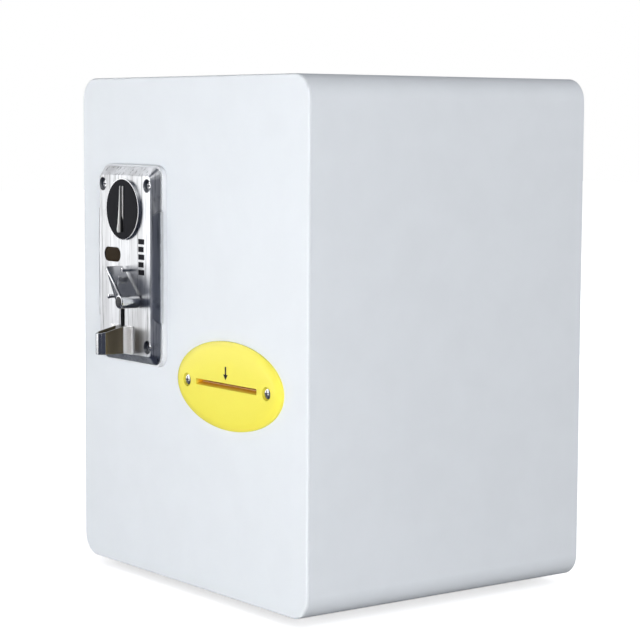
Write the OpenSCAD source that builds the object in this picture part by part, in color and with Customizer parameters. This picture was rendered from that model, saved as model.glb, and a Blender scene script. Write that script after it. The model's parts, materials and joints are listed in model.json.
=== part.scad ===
// Coin-operated ticket vending machine: a rounded sheet-steel cabinet with a coin acceptor and an
// oval ticket mouth on its front, and a hinged service door on its back.
// Millimetres. +Z is up, the front faces -Y, +X is to the right of someone facing the front.

/* [Cabinet] */
// Width over the cabinet's sides
cab_w = 229; // [222:1:290]
// Depth from the front panel's face to the rear edge
cab_d = 197; // [190:1:260]
// Height of the cabinet without its feet
cab_h = 290; // [270:1:350]
// Radius of the cabinet's four long edges
cab_r = 13; // [8:0.5:16]
// Thickness of the sheet that wraps round the cabinet
wrap_t = 1.5; // [1:0.1:2]
// Thickness of the front panel
panel_t = 2; // [1.5:0.1:3]
// Chamfer along the front panel's outer edge
panel_edge = 1.2; // [0.4:0.1:1.4]
// Thickness of the fixed rear panel
rear_t = 1.5; // [1:0.1:2]
// Height of the rubber feet
foot_h = 4; // [3:0.5:8]
// Radius of the rubber feet
foot_r = 9; // [7:0.5:11]
// Distance of a foot's centre from the cabinet's sides
foot_in = 34; // [30:1:45]
// Distance between the anchor holes in the base, side to side
anchor_x = 190; // [180:1:194]
// Distance between the anchor holes in the base, front to back
anchor_y = 140; // [120:1:150]
// Radius of the anchor holes
anchor_r = 3.3; // [2.2:0.1:4.5]

/* [Service door] */
// Width of the steel rim that the rear panel leaves at its sides and top
rim_w = 20; // [17:1:26]
// Height of the fixed strip below the door
sill_h = 62; // [56:1:90]
// How far the door overlaps the rear panel round the opening
door_lap = 6; // [4:0.5:9]
// Thickness of the door's sheet
door_t = 1.5; // [1:0.1:2]
// Radius of the hinge knuckles
knuckle_r = 3.2; // [2.6:0.1:3.4]
// Radius of the hinge pins
hinge_pin_r = 1.5; // [1:0.1:1.8]
// Length of one hinge
hinge_len = 44; // [30:1:60]
// Radius of the cam lock's threaded barrel
lock_r = 8; // [7:0.1:9]
// Reach of the lock's cam from the lock's axis
cam_reach = 24; // [20:0.5:28]

/* [Coin acceptor] */
// Sideways place of the acceptor from the cabinet's middle
acc_x = -54; // [-62:0.5:-50]
// Height of the acceptor's middle above the cabinet's base
acc_h = 181.2; // [170:0.1:200]
// Width of the acceptor's plate
plate_w = 64; // [62:0.5:68]
// Height of the acceptor's plate
plate_h = 114; // [110:0.5:122]
// Thickness of the acceptor's plate
plate_t = 5.1; // [4:0.1:7]
// Slope of the plate's sides, as the width it loses on each side
plate_bevel = 4.2; // [2:0.1:5]
// Slope of the plate's ends, as the height it loses at top and bottom
plate_end = 5; // [3:0.1:5.4]
// Thickness of the spacer behind the plate
spacer_t = 3; // [1:0.1:4]
// Radius of the coin entry disc at the plate
disc_r = 17.9; // [15:0.1:19]
// How far the coin entry disc stands out
disc_out = 2; // [1:0.1:3]
// Height of the coin slot
slot_h = 27; // [22:0.5:28]
// Width of the coin slot
slot_w = 2.4; // [1.8:0.1:3]
// Thickness of the slot's metal lips
lip_t = 0.8; // [0.5:0.1:1]
// Length of the return lever from its pivot to its tip
lever_len = 24.7; // [20:0.1:26]
// Lean of the return lever to the left of upright
lever_lean = 38; // [34:1:42]
// Radius of the return lever's hub
hub_r = 4; // [3.5:0.1:4.5]
// How far the lever's hub stands out from the plate
hub_out = 13.2; // [10:0.1:18]
// Radius of the lever's shaft
lever_shaft_r = 2.5; // [2:0.1:2.8]
// Outer width of the coin return cup
cup_w = 9; // [8:0.1:12]
// How far the cup stands out from the plate
cup_out = 17.6; // [14:0.1:26]
// Thickness of the cup's wall
cup_t = 1; // [0.8:0.1:1.4]
// Radius of the flare where the cup meets the plate
cup_flare = 3; // [1:0.1:4]

/* [Ticket mouth] */
// Sideways place of the ticket mouth from the cabinet's middle
bez_x = 43; // [38:0.5:52]
// Height of the ticket mouth's middle above the cabinet's base
bez_h = 119.3; // [110:0.1:140]
// Width of the oval bezel
bez_w = 101.5; // [96:0.5:110]
// Height of the oval bezel
bez_hh = 49.5; // [44:0.5:56]
// Thickness of the oval bezel at its middle
bez_t = 3.2; // [3:0.1:5]
// Width of the ticket slot
mouth_w = 59; // [50:0.5:60]
// Height of the ticket slot
mouth_h = 2.2; // [1.6:0.1:4]
// Distance between the bezel's two screws
bez_screws = 77.1; // [74:0.1:82]

/* [Ticket drive] */
// Width of a ticket
ticket_w = 56; // [40:0.5:57]
// Radius of the drive rollers
drive_r = 9; // [7:0.1:9.5]
// Radius of the pinch rollers
pinch_r = 7; // [5:0.1:8]
// Depth of the rollers' axes behind the front panel's face
roller_d = 33; // [30:0.5:36]
// Radius of the drive shaft
shaft_r = 3; // [2:0.1:3.5]
// Teeth on the drive shaft's gear
gear_teeth = 40; // [36:1:44]
// Teeth on the motor's pinion
pinion_teeth = 12; // [12:1:13]
// Module of both gears
gear_mod = 1; // [1:0.05:1.05]
// Radius of the motor and its gearhead
motor_r = 12.5; // [10:0.1:13]
// Length of the motor with its gearhead
motor_len = 46; // [30:1:50]

/* [Stores] */
// Width of the cash box
cash_w = 78; // [60:1:80]
// Depth of the cash box
cash_d = 136; // [110:1:140]
// Height of the cash box
cash_h = 58; // [40:1:60]
// Height of the ticket tray
tray_h = 74; // [50:1:80]
// Depth of the ticket tray
tray_d = 80; // [70:1:82]
// Height of the stack of folded tickets
stack_h = 54; // [20:1:60]

/* [Hidden] */
$fn = 48;
// Running clearance of a shaft in its bore, and of a pressed or screwed one
run = 0.05;
snug = 0.02;
// Gap left between a moving piece and what it passes
gap = 0.3;

// Depth over everything, and the front face's place, so that the origin is the middle of the footprint
plate_front = spacer_t + plate_t;
front_proud = plate_front + cup_out;
hinge_off = knuckle_r + gap;
rear_proud = hinge_off + knuckle_r;
front_y = front_proud - (cab_d + front_proud + rear_proud) / 2;
mid_z = foot_h + cab_h / 2;
floor_z = foot_h + wrap_t;
inner_x = cab_w / 2 - wrap_t;

acc_z = foot_h + acc_h;
bez_z = foot_h + bez_h;

// ---- shared shapes ------------------------------------------------------------------------------
// 2-D rounded rectangle about the origin
module rrect(w, h, r) {
  square([w - 2 * r, h], center = true);
  square([w, h - 2 * r], center = true);
  for (x = [-1, 1], y = [-1, 1]) translate([x * (w / 2 - r), y * (h / 2 - r)]) circle(r);
}

// Upright slab between two depths behind the front face; its children are drawn in X and Z
module slab(d0, d1) translate([0, front_y + d1, 0]) rotate([90, 0, 0]) linear_extrude(d1 - d0) children();

// Round bar along the depth, between two depths
module rod_y(d0, d1, r) translate([0, front_y + d1, 0]) rotate([90, 0, 0]) cylinder(h = d1 - d0, r = r);

// Round bar along the width, between two places, at a depth and a height
module rod_x(x0, x1, d, z, r)
  translate([x0, front_y + d, z]) rotate([0, 90, 0]) cylinder(h = x1 - x0, r = r);

// Block between two X places, two depths and two heights
module block(x0, x1, d0, d1, z0, z1)
  translate([x0, front_y + d0, z0]) cube([x1 - x0, d1 - d0, z1 - z0]);

// Profile drawn in depth and height, extruded between two X places
module side_slab(x0, x1)
  translate([x0, front_y, 0]) rotate([90, 0, 90]) linear_extrude(x1 - x0) children();

// Coil of round wire along +Z: inner rings first, closed at both ends
module coil(r, wire, pitch, turns, sides = 8, steps = 16) {
  n = round(turns * steps);
  points = [for (i = [0 : n], k = [0 : sides - 1])
    let (a = 360 * i / steps, b = 360 * k / sides)
    [(r + wire * cos(b)) * cos(a), (r + wire * cos(b)) * sin(a), pitch * i / steps + wire * sin(b)]];
  walls = [for (i = [0 : n - 1], k = [0 : sides - 1])
    let (m = (k + 1) % sides)
    [i * sides + k, i * sides + m, (i + 1) * sides + m, (i + 1) * sides + k]];
  first = [for (k = [0 : sides - 1]) sides - 1 - k];
  last = [for (k = [0 : sides - 1]) n * sides + k];
  polyhedron(points, concat(walls, [first, last]), convexity = 10);
}

// 2-D spur gear with straight-flanked teeth
module gear_2d(teeth, mod, bore) {
  pitch = teeth * mod / 2;
  tip = pitch + 0.9 * mod;
  root = pitch - 1.2 * mod;
  step = 360 / teeth;
  difference() {
    polygon([for (i = [0 : teeth - 1], p = [[root, -0.31], [tip, -0.12], [tip, 0.12], [root, 0.31]])
      let (a = (i + p[1]) * step) p[0] * [cos(a), sin(a)]]);
    circle(bore);
  }
}

// 2-D teardrop: a big circle at the origin, a small one up the Y axis, and their common tangents
module teardrop(r1, r2, len) {
  a = asin((r1 - r2) / len);
  circle(r1);
  translate([0, len]) circle(r2);
  polygon([r1 * [cos(a), sin(a)], [r2 * cos(a), len + r2 * sin(a)],
    [-r2 * cos(a), len + r2 * sin(a)], r1 * [-cos(a), sin(a)]]);
}

// Pan-head screw along the depth: head from head_d to seat_d, shank on to end_d, cross recess
module screw_y(head_d, seat_d, end_d, head_r, shank_r) difference() {
  union() {
    rod_y(head_d, seat_d, head_r);
    rod_y(seat_d, end_d, shank_r);
  }
  for (a = [0, 90]) rotate([0, a, 0])
    translate([-head_r * 0.6, front_y + head_d - 1, -head_r * 0.11])
      cube([head_r * 1.2, 1 + (seat_d - head_d) * 0.6, head_r * 0.22]);
}

// ---- cabinet ------------------------------------------------------------------------------------
foot_xs = cab_w / 2 - foot_in;
foot_ds = [foot_in - 3, cab_d - foot_in + 3];
foot_screw_r = 2;

module at_feet() for (x = [-foot_xs, foot_xs], d = foot_ds) translate([x, front_y + d, 0]) children();

anchor_d = cab_d / 2;
module at_anchors() for (x = [-1, 1], y = [-1, 1])
  translate([x * anchor_x / 2, front_y + anchor_d + y * anchor_y / 2, 0]) children();

module cabinet_wrap() color("whitesmoke") difference() {
  slab(panel_t, cab_d) translate([0, mid_z]) difference() {
    rrect(cab_w, cab_h, cab_r);
    rrect(cab_w - 2 * wrap_t, cab_h - 2 * wrap_t, cab_r - wrap_t);
  }
  at_feet() translate([0, 0, foot_h - 1]) cylinder(h = wrap_t + 2, r = foot_screw_r + snug);
  at_anchors() translate([0, 0, foot_h - 1]) cylinder(h = wrap_t + 2, r = anchor_r);
}

// Cut-outs in the front panel
acc_cut_w = plate_w - 8;
acc_cut_h = plate_h - 8;
neck_w = mouth_w + 4;
neck_h = mouth_h + 6;

module front_panel() color("white") difference() {
  hull() {
    slab(panel_edge, panel_t) translate([0, mid_z]) rrect(cab_w, cab_h, cab_r, $fn = 96);
    slab(0, 0.1) translate([0, mid_z])
      rrect(cab_w - 2 * panel_edge, cab_h - 2 * panel_edge, cab_r - panel_edge, $fn = 96);
  }
  slab(-1, panel_t + 1) translate([acc_x, acc_z]) square([acc_cut_w, acc_cut_h], center = true);
  slab(-1, panel_t + 1) translate([bez_x, bez_z])
    square([neck_w + 2 * gap, neck_h + 2 * gap], center = true);
  for (s = [-1, 1]) translate([bez_x + s * bez_screws / 2, 0, bez_z])
    rod_y(-1, panel_t + 1, bez_screw_r + snug);
}

door_open_w = cab_w - 2 * wrap_t - 2 * rim_w;
door_z0 = foot_h + sill_h;
door_z1 = foot_h + cab_h - wrap_t - rim_w;
inlet_x = 60;
inlet_z = foot_h + 32;
switch_x = 14;

module rear_panel() color("gainsboro") difference() {
  slab(cab_d - rear_t, cab_d) translate([0, mid_z]) rrect(cab_w - 2 * wrap_t - 2 * snug,
    cab_h - 2 * wrap_t - 2 * snug, cab_r - wrap_t);
  block(-door_open_w / 2, door_open_w / 2, cab_d - 5, cab_d + 5, door_z0, door_z1);
  block(inlet_x - inlet_w / 2, inlet_x + inlet_w / 2, cab_d - 5, cab_d + 5,
    inlet_z - inlet_h / 2, inlet_z + inlet_h / 2);
  block(switch_x - switch_w / 2, switch_x + switch_w / 2, cab_d - 5, cab_d + 5,
    inlet_z - switch_h / 2, inlet_z + switch_h / 2);
}

module feet() color("black") at_feet() difference() {
  rotate_extrude() polygon([[0, 0], [foot_r - 1, 0], [foot_r, 1], [foot_r - 0.5, foot_h], [0, foot_h]]);
  translate([0, 0, -1]) cylinder(h = foot_h / 2 + 1, r = foot_r / 2);
  cylinder(h = foot_h + 1, r = foot_screw_r + snug);
}

// Thread-forming screw up through each foot into the cabinet's floor
module foot_screws() color("silver") at_feet() {
  translate([0, 0, foot_h / 2 - 1.4]) cylinder(h = 1.4, r = 3.6);
  translate([0, 0, foot_h / 2]) cylinder(h = floor_z + 1.2 - foot_h / 2, r = foot_screw_r);
}

// ---- service door -------------------------------------------------------------------------------
hinge_x = -inner_x + 13;
door_x0 = hinge_x + knuckle_r + 0.8;
door_x1 = door_open_w / 2 + door_lap;
door_bot = door_z0 - door_lap;
door_top = door_z1 + door_lap;
door_in = cab_d + gap;
door_out = door_in + door_t;
lock_x = door_open_w / 2 - 18;
lock_z = (door_bot + door_top) / 2;
hinge_zs = [door_bot + 22, door_top - 22 - hinge_len];
leaf_t = 1.2;
// Stiffening rim on the door's inner face: its height and its distance inside the opening
door_rim = 3;
rim_in = 4;

module rear_door() color("gainsboro") difference() {
  union() {
    block(door_x0, door_x1, door_in, door_out, door_bot, door_top);
    difference() {
      block(rim_in - door_open_w / 2, door_open_w / 2 - rim_in, door_in - door_rim, door_in,
        door_z0 + rim_in, door_z1 - rim_in);
      block(rim_in + door_t - door_open_w / 2, door_open_w / 2 - rim_in - door_t,
        door_in - door_rim - 1, door_in + 1, door_z0 + rim_in + door_t, door_z1 - rim_in - door_t);
    }
  }
  translate([lock_x, 0, lock_z]) rod_y(door_in - 1, door_out + 1, lock_r + snug);
  for (i = [0 : 5], x = [-34, 34]) translate([x, 0, door_top - 34 - 8 * i])
    slab(door_in - 1, door_out + 1) rrect(48, 3.4, 1.6);
}

// One hinge knuckle with its leg, from z0 to z1; side is -1 for the cabinet's leaf, 1 for the door's
module knuckle(z0, z1, side, leaf_d) difference() {
  union() {
    translate([hinge_x, front_y + cab_d + hinge_off, z0]) cylinder(h = z1 - z0, r = knuckle_r);
    block(side > 0 ? hinge_x : hinge_x - knuckle_r - 1, side > 0 ? hinge_x + knuckle_r + 1 : hinge_x,
      leaf_d, leaf_d + leaf_t, z0, z1);
  }
  translate([hinge_x, front_y + cab_d + hinge_off, z0 - 1])
    cylinder(h = z1 - z0 + 2, r = hinge_pin_r + (side > 0 ? run : snug));
}

knuckle_len = hinge_len / 3;
module door_hinge_leaves() color("silver") for (z = hinge_zs) {
  knuckle(z + knuckle_len + 0.1, z + 2 * knuckle_len - 0.1, 1, door_out);
  block(hinge_x + knuckle_r + 0.4, hinge_x + 17, door_out, door_out + leaf_t, z, z + hinge_len);
}

module frame_hinge_leaves() color("silver") for (z = hinge_zs) {
  knuckle(z, z + knuckle_len - 0.1, -1, cab_d);
  knuckle(z + 2 * knuckle_len + 0.1, z + hinge_len, -1, cab_d);
  block(hinge_x - 11, hinge_x - knuckle_r - 0.4, cab_d, cab_d + leaf_t, z, z + hinge_len);
}

module hinge_pins() color("silver") for (z = hinge_zs)
  translate([hinge_x, front_y + cab_d + hinge_off, z - 1]) {
    cylinder(h = hinge_len + 2, r = hinge_pin_r);
    cylinder(h = 1, r = hinge_pin_r + 0.7);
    translate([0, 0, hinge_len + 1]) cylinder(h = 1, r = hinge_pin_r + 0.7);
  }

plug_r = 5.2;
lock_end = cab_d - 4;
module lock_barrel() color("silver") translate([lock_x, 0, lock_z]) difference() {
  union() {
    rod_y(door_out, door_out + 2.6, lock_r + 2.6);
    rod_y(lock_end, door_out, lock_r);
  }
  rod_y(lock_end - 1, door_out + 5, plug_r + run);
}

module lock_nut() color("silver") translate([lock_x, 0, lock_z]) difference() {
  slab(door_in - 3, door_in) circle(lock_r + 3.5, $fn = 6);
  rod_y(door_in - 4, door_in + 1, lock_r + snug);
}

cam_d = lock_end - gap;
module lock_plug() color("silver") translate([lock_x, 0, lock_z]) difference() {
  union() {
    rod_y(cam_d, door_out + 2.2, plug_r);
    rod_y(cam_d - 4, cam_d, 3);
  }
  block(-0.6, 0.6, door_out - 4, door_out + 3, -3.2, 3.2);
}

module lock_cam() color("silver") translate([lock_x, 0, lock_z]) difference() {
  slab(cam_d - 2, cam_d) difference() {
    union() {
      circle(6.5);
      translate([-5, -cam_reach]) square([10, cam_reach]);
    }
    circle(3 + snug);
  }
}

// ---- coin acceptor ------------------------------------------------------------------------------
// Places on the plate, from its middle
plate_r = 6.5;
disc_z = 32.4;
hub_x = 14.5;
hub_z = -20.2;
screw_dx = 24.2;
screw_dz = 46.5;
acc_screw_r = 1.75;
acc_head_r = 3.2;
acc_head_h = 1.6;
// The screws' heads stand on a seat below the plate's face, with play round them
screw_sink = 2.9;
sink_play = 0.7;
grip_out = 1.8;
grip_h = 64;
cup_x = -2.5;
cup_bottom = -52;
cup_back_top = -35.4;
cup_front_top = -40;
flange_w = 7.4;
flange_out = 1.2;
reject_w = 4.6;
reject_top = -21.6;
window_w = 18;
window_h = 8.4;
window_x = -13.6;
window_z = 5.4;
pin_r = 1.1;
pin_out = 6.2;
stop_pins_at = [[6.4, -2.6], [-8.6, -18.8]];

// Moves children to the acceptor's middle
module at_acc() translate([acc_x, 0, acc_z]) children();

module acceptor_spacer() color("lightgray") at_acc() slab(-spacer_t, 0) difference() {
  rrect(plate_w + 2.4, plate_h + 2.4, plate_r + 1.2);
  square([acc_cut_w, acc_cut_h], center = true);
}

// Outline of the reject slot: its lower part opens into the cup, its upper part stands above the rim
module reject_2d() {
  translate([cup_x - reject_w / 2, cup_bottom + 1.5])
    square([reject_w, reject_top - cup_bottom - 1.5]);
}

module acceptor_plate() color("silver") at_acc() difference() {
  union() {
    hull() {
      slab(-spacer_t - 0.8, -spacer_t) rrect(plate_w, plate_h, plate_r, $fn = 32);
      slab(-plate_front, 0.1 - plate_front)
        rrect(plate_w - 2 * plate_bevel, plate_h - 2 * plate_end, 1, $fn = 32);
    }
    // Steeper grips half-way up both sides
    hull() {
      slab(-spacer_t - 2, -spacer_t) square([plate_w + 2 * grip_out, grip_h], center = true);
      slab(0.6 - plate_front, 0.7 - plate_front)
        square([plate_w - 2 * plate_bevel, grip_h - 6], center = true);
    }
  }
  // Hollow back
  slab(-spacer_t - 2, 1 - spacer_t) square([acc_cut_w - 6, 76], center = true);
  translate([0, 0, disc_z]) rod_y(-plate_front - 1, 0, disc_r - 3);
  slab(-plate_front - 1, 0) reject_2d();
  slab(-plate_front - 1, 0) translate([window_x, window_z]) rrect(window_w, window_h, window_h / 2 - 0.1);
  for (x = [-1, 1], z = [-1, 1]) translate([x * screw_dx, 0, z * screw_dz]) {
    rod_y(-plate_front - 1, 0, acc_screw_r + snug);
    rod_y(-plate_front - 1, screw_sink - plate_front, acc_head_r + sink_play);
  }
  translate([hub_x, 0, hub_z]) rod_y(-plate_front - 1, 0, lever_shaft_r + run);
  for (p = stop_pins_at) translate([p[0], 0, p[1]]) rod_y(-plate_front - 1, 0, pin_r + snug);
}

module acceptor_screws() color("silver") at_acc()
  for (x = [-1, 1], z = [-1, 1]) translate([x * screw_dx, 0, z * screw_dz])
    screw_y(screw_sink - plate_front - acc_head_h, screw_sink - plate_front, panel_t + 3,
      acc_head_r, acc_screw_r);

disc_front = -plate_front - disc_out;
module coin_entry_disc() color("black") at_acc() translate([0, 0, disc_z]) difference() {
  translate([0, front_y, 0]) rotate([90, 0, 0]) rotate_extrude() polygon([[0, 0.5],
    [disc_r - 3 - run, 0.5], [disc_r - 3 - run, plate_front], [disc_r, plate_front],
    [disc_r, plate_front + disc_out * 0.35], [disc_r - 1.3, -disc_front], [0, -disc_front]]);
  block(-slot_w / 2 - lip_t, slot_w / 2 + lip_t, disc_front - 1, 2, -slot_h / 2, slot_h / 2);
}

// Two lips line the slot; the left one rises towards its lower end
module coin_slot_lips() color("silver") at_acc() translate([0, 0, disc_z]) {
  side_slab(-slot_w / 2 - lip_t, -slot_w / 2) polygon([[-0.5, -slot_h / 2], [-0.5, slot_h / 2],
    [disc_front - 0.6, slot_h / 2], [disc_front - 0.9, 2], [disc_front - 2.6, 4 - slot_h / 2],
    [disc_front - 2.8, 1.5 - slot_h / 2], [disc_front - 2.2, -slot_h / 2]]);
  side_slab(slot_w / 2, slot_w / 2 + lip_t) polygon([[-0.5, -slot_h / 2], [-0.5, slot_h / 2],
    [disc_front - 0.6, slot_h / 2], [disc_front - 0.6, -slot_h / 4], [disc_front, -slot_h / 2]]);
}

module value_window() color("saddlebrown") at_acc() slab(0.3 - plate_front, -spacer_t - 2)
  translate([window_x, window_z]) rrect(window_w, window_h, window_h / 2 - 0.1);

lever_back = gap - plate_front - 1;
lever_front = -plate_front - hub_out;
module at_hub() at_acc() translate([hub_x, 0, hub_z]) children();

module return_lever() color("silver") at_hub() difference() {
  union() {
    rod_y(lever_front, lever_back, hub_r);
    slab(lever_front + 0.6, lever_back - 0.4) rotate(lever_lean)
      teardrop(hub_r, 0.8, lever_len - 0.8);
  }
  rod_y(lever_front + 2.5, lever_back + 1, lever_shaft_r + snug);
  rod_y(lever_front - 1, lever_front + 3, lever_cap_r + snug);
}

lever_cap_r = 2;
finger_d0 = panel_t + 6.5;
finger_d1 = finger_d0 + 3;
finger_len = 9;
module lever_shaft() color("silver") at_hub() {
  rod_y(lever_front + 3.2, finger_d1 + 1, lever_shaft_r);
  slab(finger_d0, finger_d1) translate([-1.2, -finger_len]) square([2.4, finger_len]);
}

module lever_cap() color("dimgray") at_hub() difference() {
  union() {
    rod_y(lever_front - 0.5, lever_front, lever_cap_r + 1.1);
    rod_y(lever_front, lever_front + 3.2, lever_cap_r);
  }
  block(-2.2, 2.2, lever_front - 1, lever_front - 0.1, -0.35, 0.35);
}

spring_wire = 0.35;
module lever_spring() color("silver") at_hub() translate([0, front_y + finger_d0 - 0.5, 0])
  rotate([90, 0, 0]) coil(lever_shaft_r + 0.9, spring_wire, 0.9, 3);

module stop_pins() color("silver") at_acc() for (p = stop_pins_at) translate([p[0], 0, p[1]]) {
  rod_y(-plate_front - pin_out, -spacer_t - 2, pin_r);
  rod_y(-plate_front - pin_out, 1 - plate_front - pin_out, pin_r + 0.25);
}

// Coin return cup: open-topped scoop with a half-round nose, and a flange on each side at the plate
module cup_plan(w, out) {
  square([w, 2 * (out - w / 2)], center = true);
  translate([0, -(out - w / 2)]) circle(w / 2);
}

module return_cup() color("silver") at_acc() translate([cup_x, front_y - plate_front, 0]) {
  difference() {
    union() {
      intersection() {
        translate([0, 0, cup_bottom]) linear_extrude(cup_back_top - cup_bottom) cup_plan(cup_w, cup_out);
        translate([-cup_w, -cup_out - 1, cup_bottom - 1]) cube([2 * cup_w, cup_out + 1, 60]);
      }
      // Flanges flat on the plate, each with a hollow that runs up into the cup's wall
      translate([0, 0, cup_bottom]) linear_extrude(cup_back_top - cup_bottom) difference() {
        for (s = [-1, 1]) scale([s, 1]) {
          translate([cup_w / 2 - 0.3, -cup_flare - flange_out])
            square([cup_flare + 0.3, cup_flare + flange_out]);
          polygon([[cup_w / 2 - 0.3, 0], [cup_w / 2 - 0.3, -flange_out],
            [cup_w / 2 + flange_w - flange_out / 2, -flange_out], [cup_w / 2 + flange_w, -flange_out / 2],
            [cup_w / 2 + flange_w, 0]]);
        }
        for (s = [-1, 1]) translate([s * (cup_w / 2 + cup_flare), -cup_flare - flange_out]) circle(cup_flare);
      }
    }
    translate([0, 0, cup_bottom + cup_t]) linear_extrude(40) cup_plan(cup_w - 2 * cup_t, cup_out - cup_t);
    // Rim that falls towards the nose
    rotate([90, 0, 90]) translate([0, 0, -20]) linear_extrude(40) polygon([[1, cup_back_top + 0.2],
      [0, cup_back_top], [-cup_out - 1, cup_front_top], [-cup_out - 1, 0], [1, 0]]);
  }
}

// Cast body behind the panel. The coin runs down a thin channel in its middle plane
body_d0 = panel_t;
body_d1 = 57;
body_hw = 26;
body_hh = 50;
chan = 1.7;
gate_pin_x = 3.4;
gate_pin_z = 43;
gate_pin_r = 1.4;
sol_d0 = 33;
sol_d1 = 51;
sol_z0 = -44;
sol_z1 = -22;
exit_d0 = 34;
exit_d1 = 54;

module acceptor_body() color("dimgray") at_acc() difference() {
  union() {
    // Front flange that clamps the panel, and the nose that fills the panel's cut-out
    slab(body_d0, body_d0 + 2.5) square([acc_cut_w + 6, acc_cut_h + 6], center = true);
    slab(gap - spacer_t, body_d0) square([acc_cut_w - 2 * gap, acc_cut_h - 2 * gap], center = true);
    // Left half with the coin channel's fixed wall
    block(-body_hw, -chan, body_d0, body_d1, -body_hh, body_hh);
    // Roof, back wall and floor that carry the gate
    block(-chan, body_hw, body_d0, body_d1, body_hh - 3, body_hh);
    block(-chan, body_hw, body_d1 - 3, body_d1, -body_hh, body_hh);
    block(-chan, body_hw, body_d0, body_d1, -body_hh, 3 - body_hh);
  }
  // Seat for the entry disc's back, the coin channel through the nose, and the reject way to the cup
  translate([0, 0, disc_z]) rod_y(-spacer_t - 1, -0.5, disc_r - 3 + snug);
  block(-chan, chan, -spacer_t - 1, 12, disc_z - 14.5, disc_z + 14.5);
  slab(-spacer_t - 1, 12) intersection() {
    reject_2d();
    translate([-body_hw, 4 - body_hh]) square([2 * body_hw, body_hh]);
  }
  // Way out for accepted coins
  block(-3, 10, exit_d0, exit_d1 - 2, -body_hh - 1, 4 - body_hh);
  // Room for the lever's shaft, spring and finger
  translate([hub_x, 0, hub_z]) rod_y(-spacer_t - 1, body_d0 + 4, lever_shaft_r + run);
  translate([hub_x, 0, hub_z]) rod_y(body_d0 + 2.5, body_d0 + 4, 7);
  // Pockets for the entry disc's back, the window, the screws and the solenoid
  block(-body_hw - 1, -9, 8, 30, -40, -6);
  block(-body_hw - 1, -9, 8, 30, 0, 40);
  block(-body_hw - 1, -9, 36, 52, 0, 40);
  block(-body_hw - 1, -8, sol_d0, sol_d1, sol_z0, sol_z1);
  translate([0, 0, (sol_z0 + sol_z1) / 2])
    rod_x(-9, 0, (sol_d0 + sol_d1) / 2, 0, plunger_r + run);
  for (x = [-1, 1], z = [-1, 1]) translate([x * screw_dx, 0, z * screw_dz])
    rod_y(-spacer_t - 1, panel_t + 3.5, acc_screw_r + snug);
  translate([gate_pin_x, 0, gate_pin_z]) rod_y(body_d0 - 1, body_d1 + 1, gate_pin_r + snug);
}

gate_x0 = chan + gap;
gate_x1 = gate_x0 + 2.4;
gate_d0 = finger_d1 + 0.6;
peg_x = hub_x + 1.2 + 0.9 + 1.2;
peg_z = hub_z - 8;
module return_gate() color("gray") at_acc() difference() {
  union() {
    block(gate_x0, gate_x1, gate_d0, body_d1 - 3 - gap, 6 - body_hh, gate_pin_z);
    translate([gate_pin_x, 0, gate_pin_z]) rod_y(gate_d0, body_d1 - 3 - gap, 3);
    // Tab and peg that the lever's finger pushes
    block(gate_x0, peg_x + 1.2, gate_d0, gate_d0 + 2.5, peg_z - 3, peg_z + 1.5);
    translate([peg_x, 0, peg_z]) rod_y(finger_d0, gate_d0 + 0.1, 1.2);
  }
  translate([gate_pin_x, 0, gate_pin_z]) rod_y(body_d0, body_d1, gate_pin_r + run);
  for (z = [-24, -4, 16]) block(gate_x0 - 1, gate_x1 + 1, 22, 46, z - 6, z + 6);
}

module gate_pin() color("silver") at_acc() translate([gate_pin_x, 0, gate_pin_z])
  rod_y(body_d0 + 1, body_d1 + 1, gate_pin_r);

plunger_r = 2.2;
sol_mid_d = (sol_d0 + sol_d1) / 2;
sol_mid_z = (sol_z0 + sol_z1) / 2;
module solenoid() color("goldenrod") at_acc() difference() {
  union() {
    block(-body_hw + 1, -8, sol_d0, sol_d1, sol_z0, sol_z0 + 1.5);
    block(-body_hw + 1, -8, sol_d0, sol_d1, sol_z1 - 1.5, sol_z1);
    block(-body_hw + 1, 2.5 - body_hw, sol_d0, sol_d1, sol_z0, sol_z1);
    rod_x(-body_hw + 2, -9.5, sol_mid_d, sol_mid_z, 8);
  }
  rod_x(-body_hw + 5, -8, sol_mid_d, sol_mid_z, plunger_r + run);
}

// Its tip bars the accept way until the coil pulls it in
module solenoid_plunger() color("silver") at_acc() {
  rod_x(9 - body_hw, chan - 0.4, sol_mid_d, sol_mid_z, plunger_r);
}

module acceptor_board() color("darkgreen") at_acc() {
  block(-body_hw - 1.6, -body_hw, 7, 55, -42, 44);
  block(-body_hw - 8, -body_hw - 1.6, 10, 24, 24, 38);
  block(-body_hw - 5, -body_hw - 1.6, 30, 44, 4, 18);
}

cash_z0 = floor_z + 2;
cash_top = cash_z0 + cash_h;
lid_t = 1.2;
cash_cx = acc_x + 6;
cash_d0 = 18;
cash_wall = 1.2;
chute_w = 26;
chute_wall = 1.4;
chute_d0 = exit_d0 - 4;
chute_d1 = exit_d1 + 2;

// Open tube that leads accepted coins down into the cash box
module coin_chute() color("gray") difference() {
  union() {
    block(acc_x - chute_w / 2, acc_x + chute_w / 2, chute_d0, chute_d1,
      cash_top + lid_t + 2, acc_z - body_hh);
    block(acc_x - chute_w / 2 - 5, acc_x + chute_w / 2 + 5, chute_d0, chute_d1,
      acc_z - body_hh - 1.5, acc_z - body_hh);
  }
  block(acc_x - chute_w / 2 + chute_wall, acc_x + chute_w / 2 - chute_wall,
    chute_d0 + chute_wall, chute_d1 - chute_wall, cash_top, acc_z);
}

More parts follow.
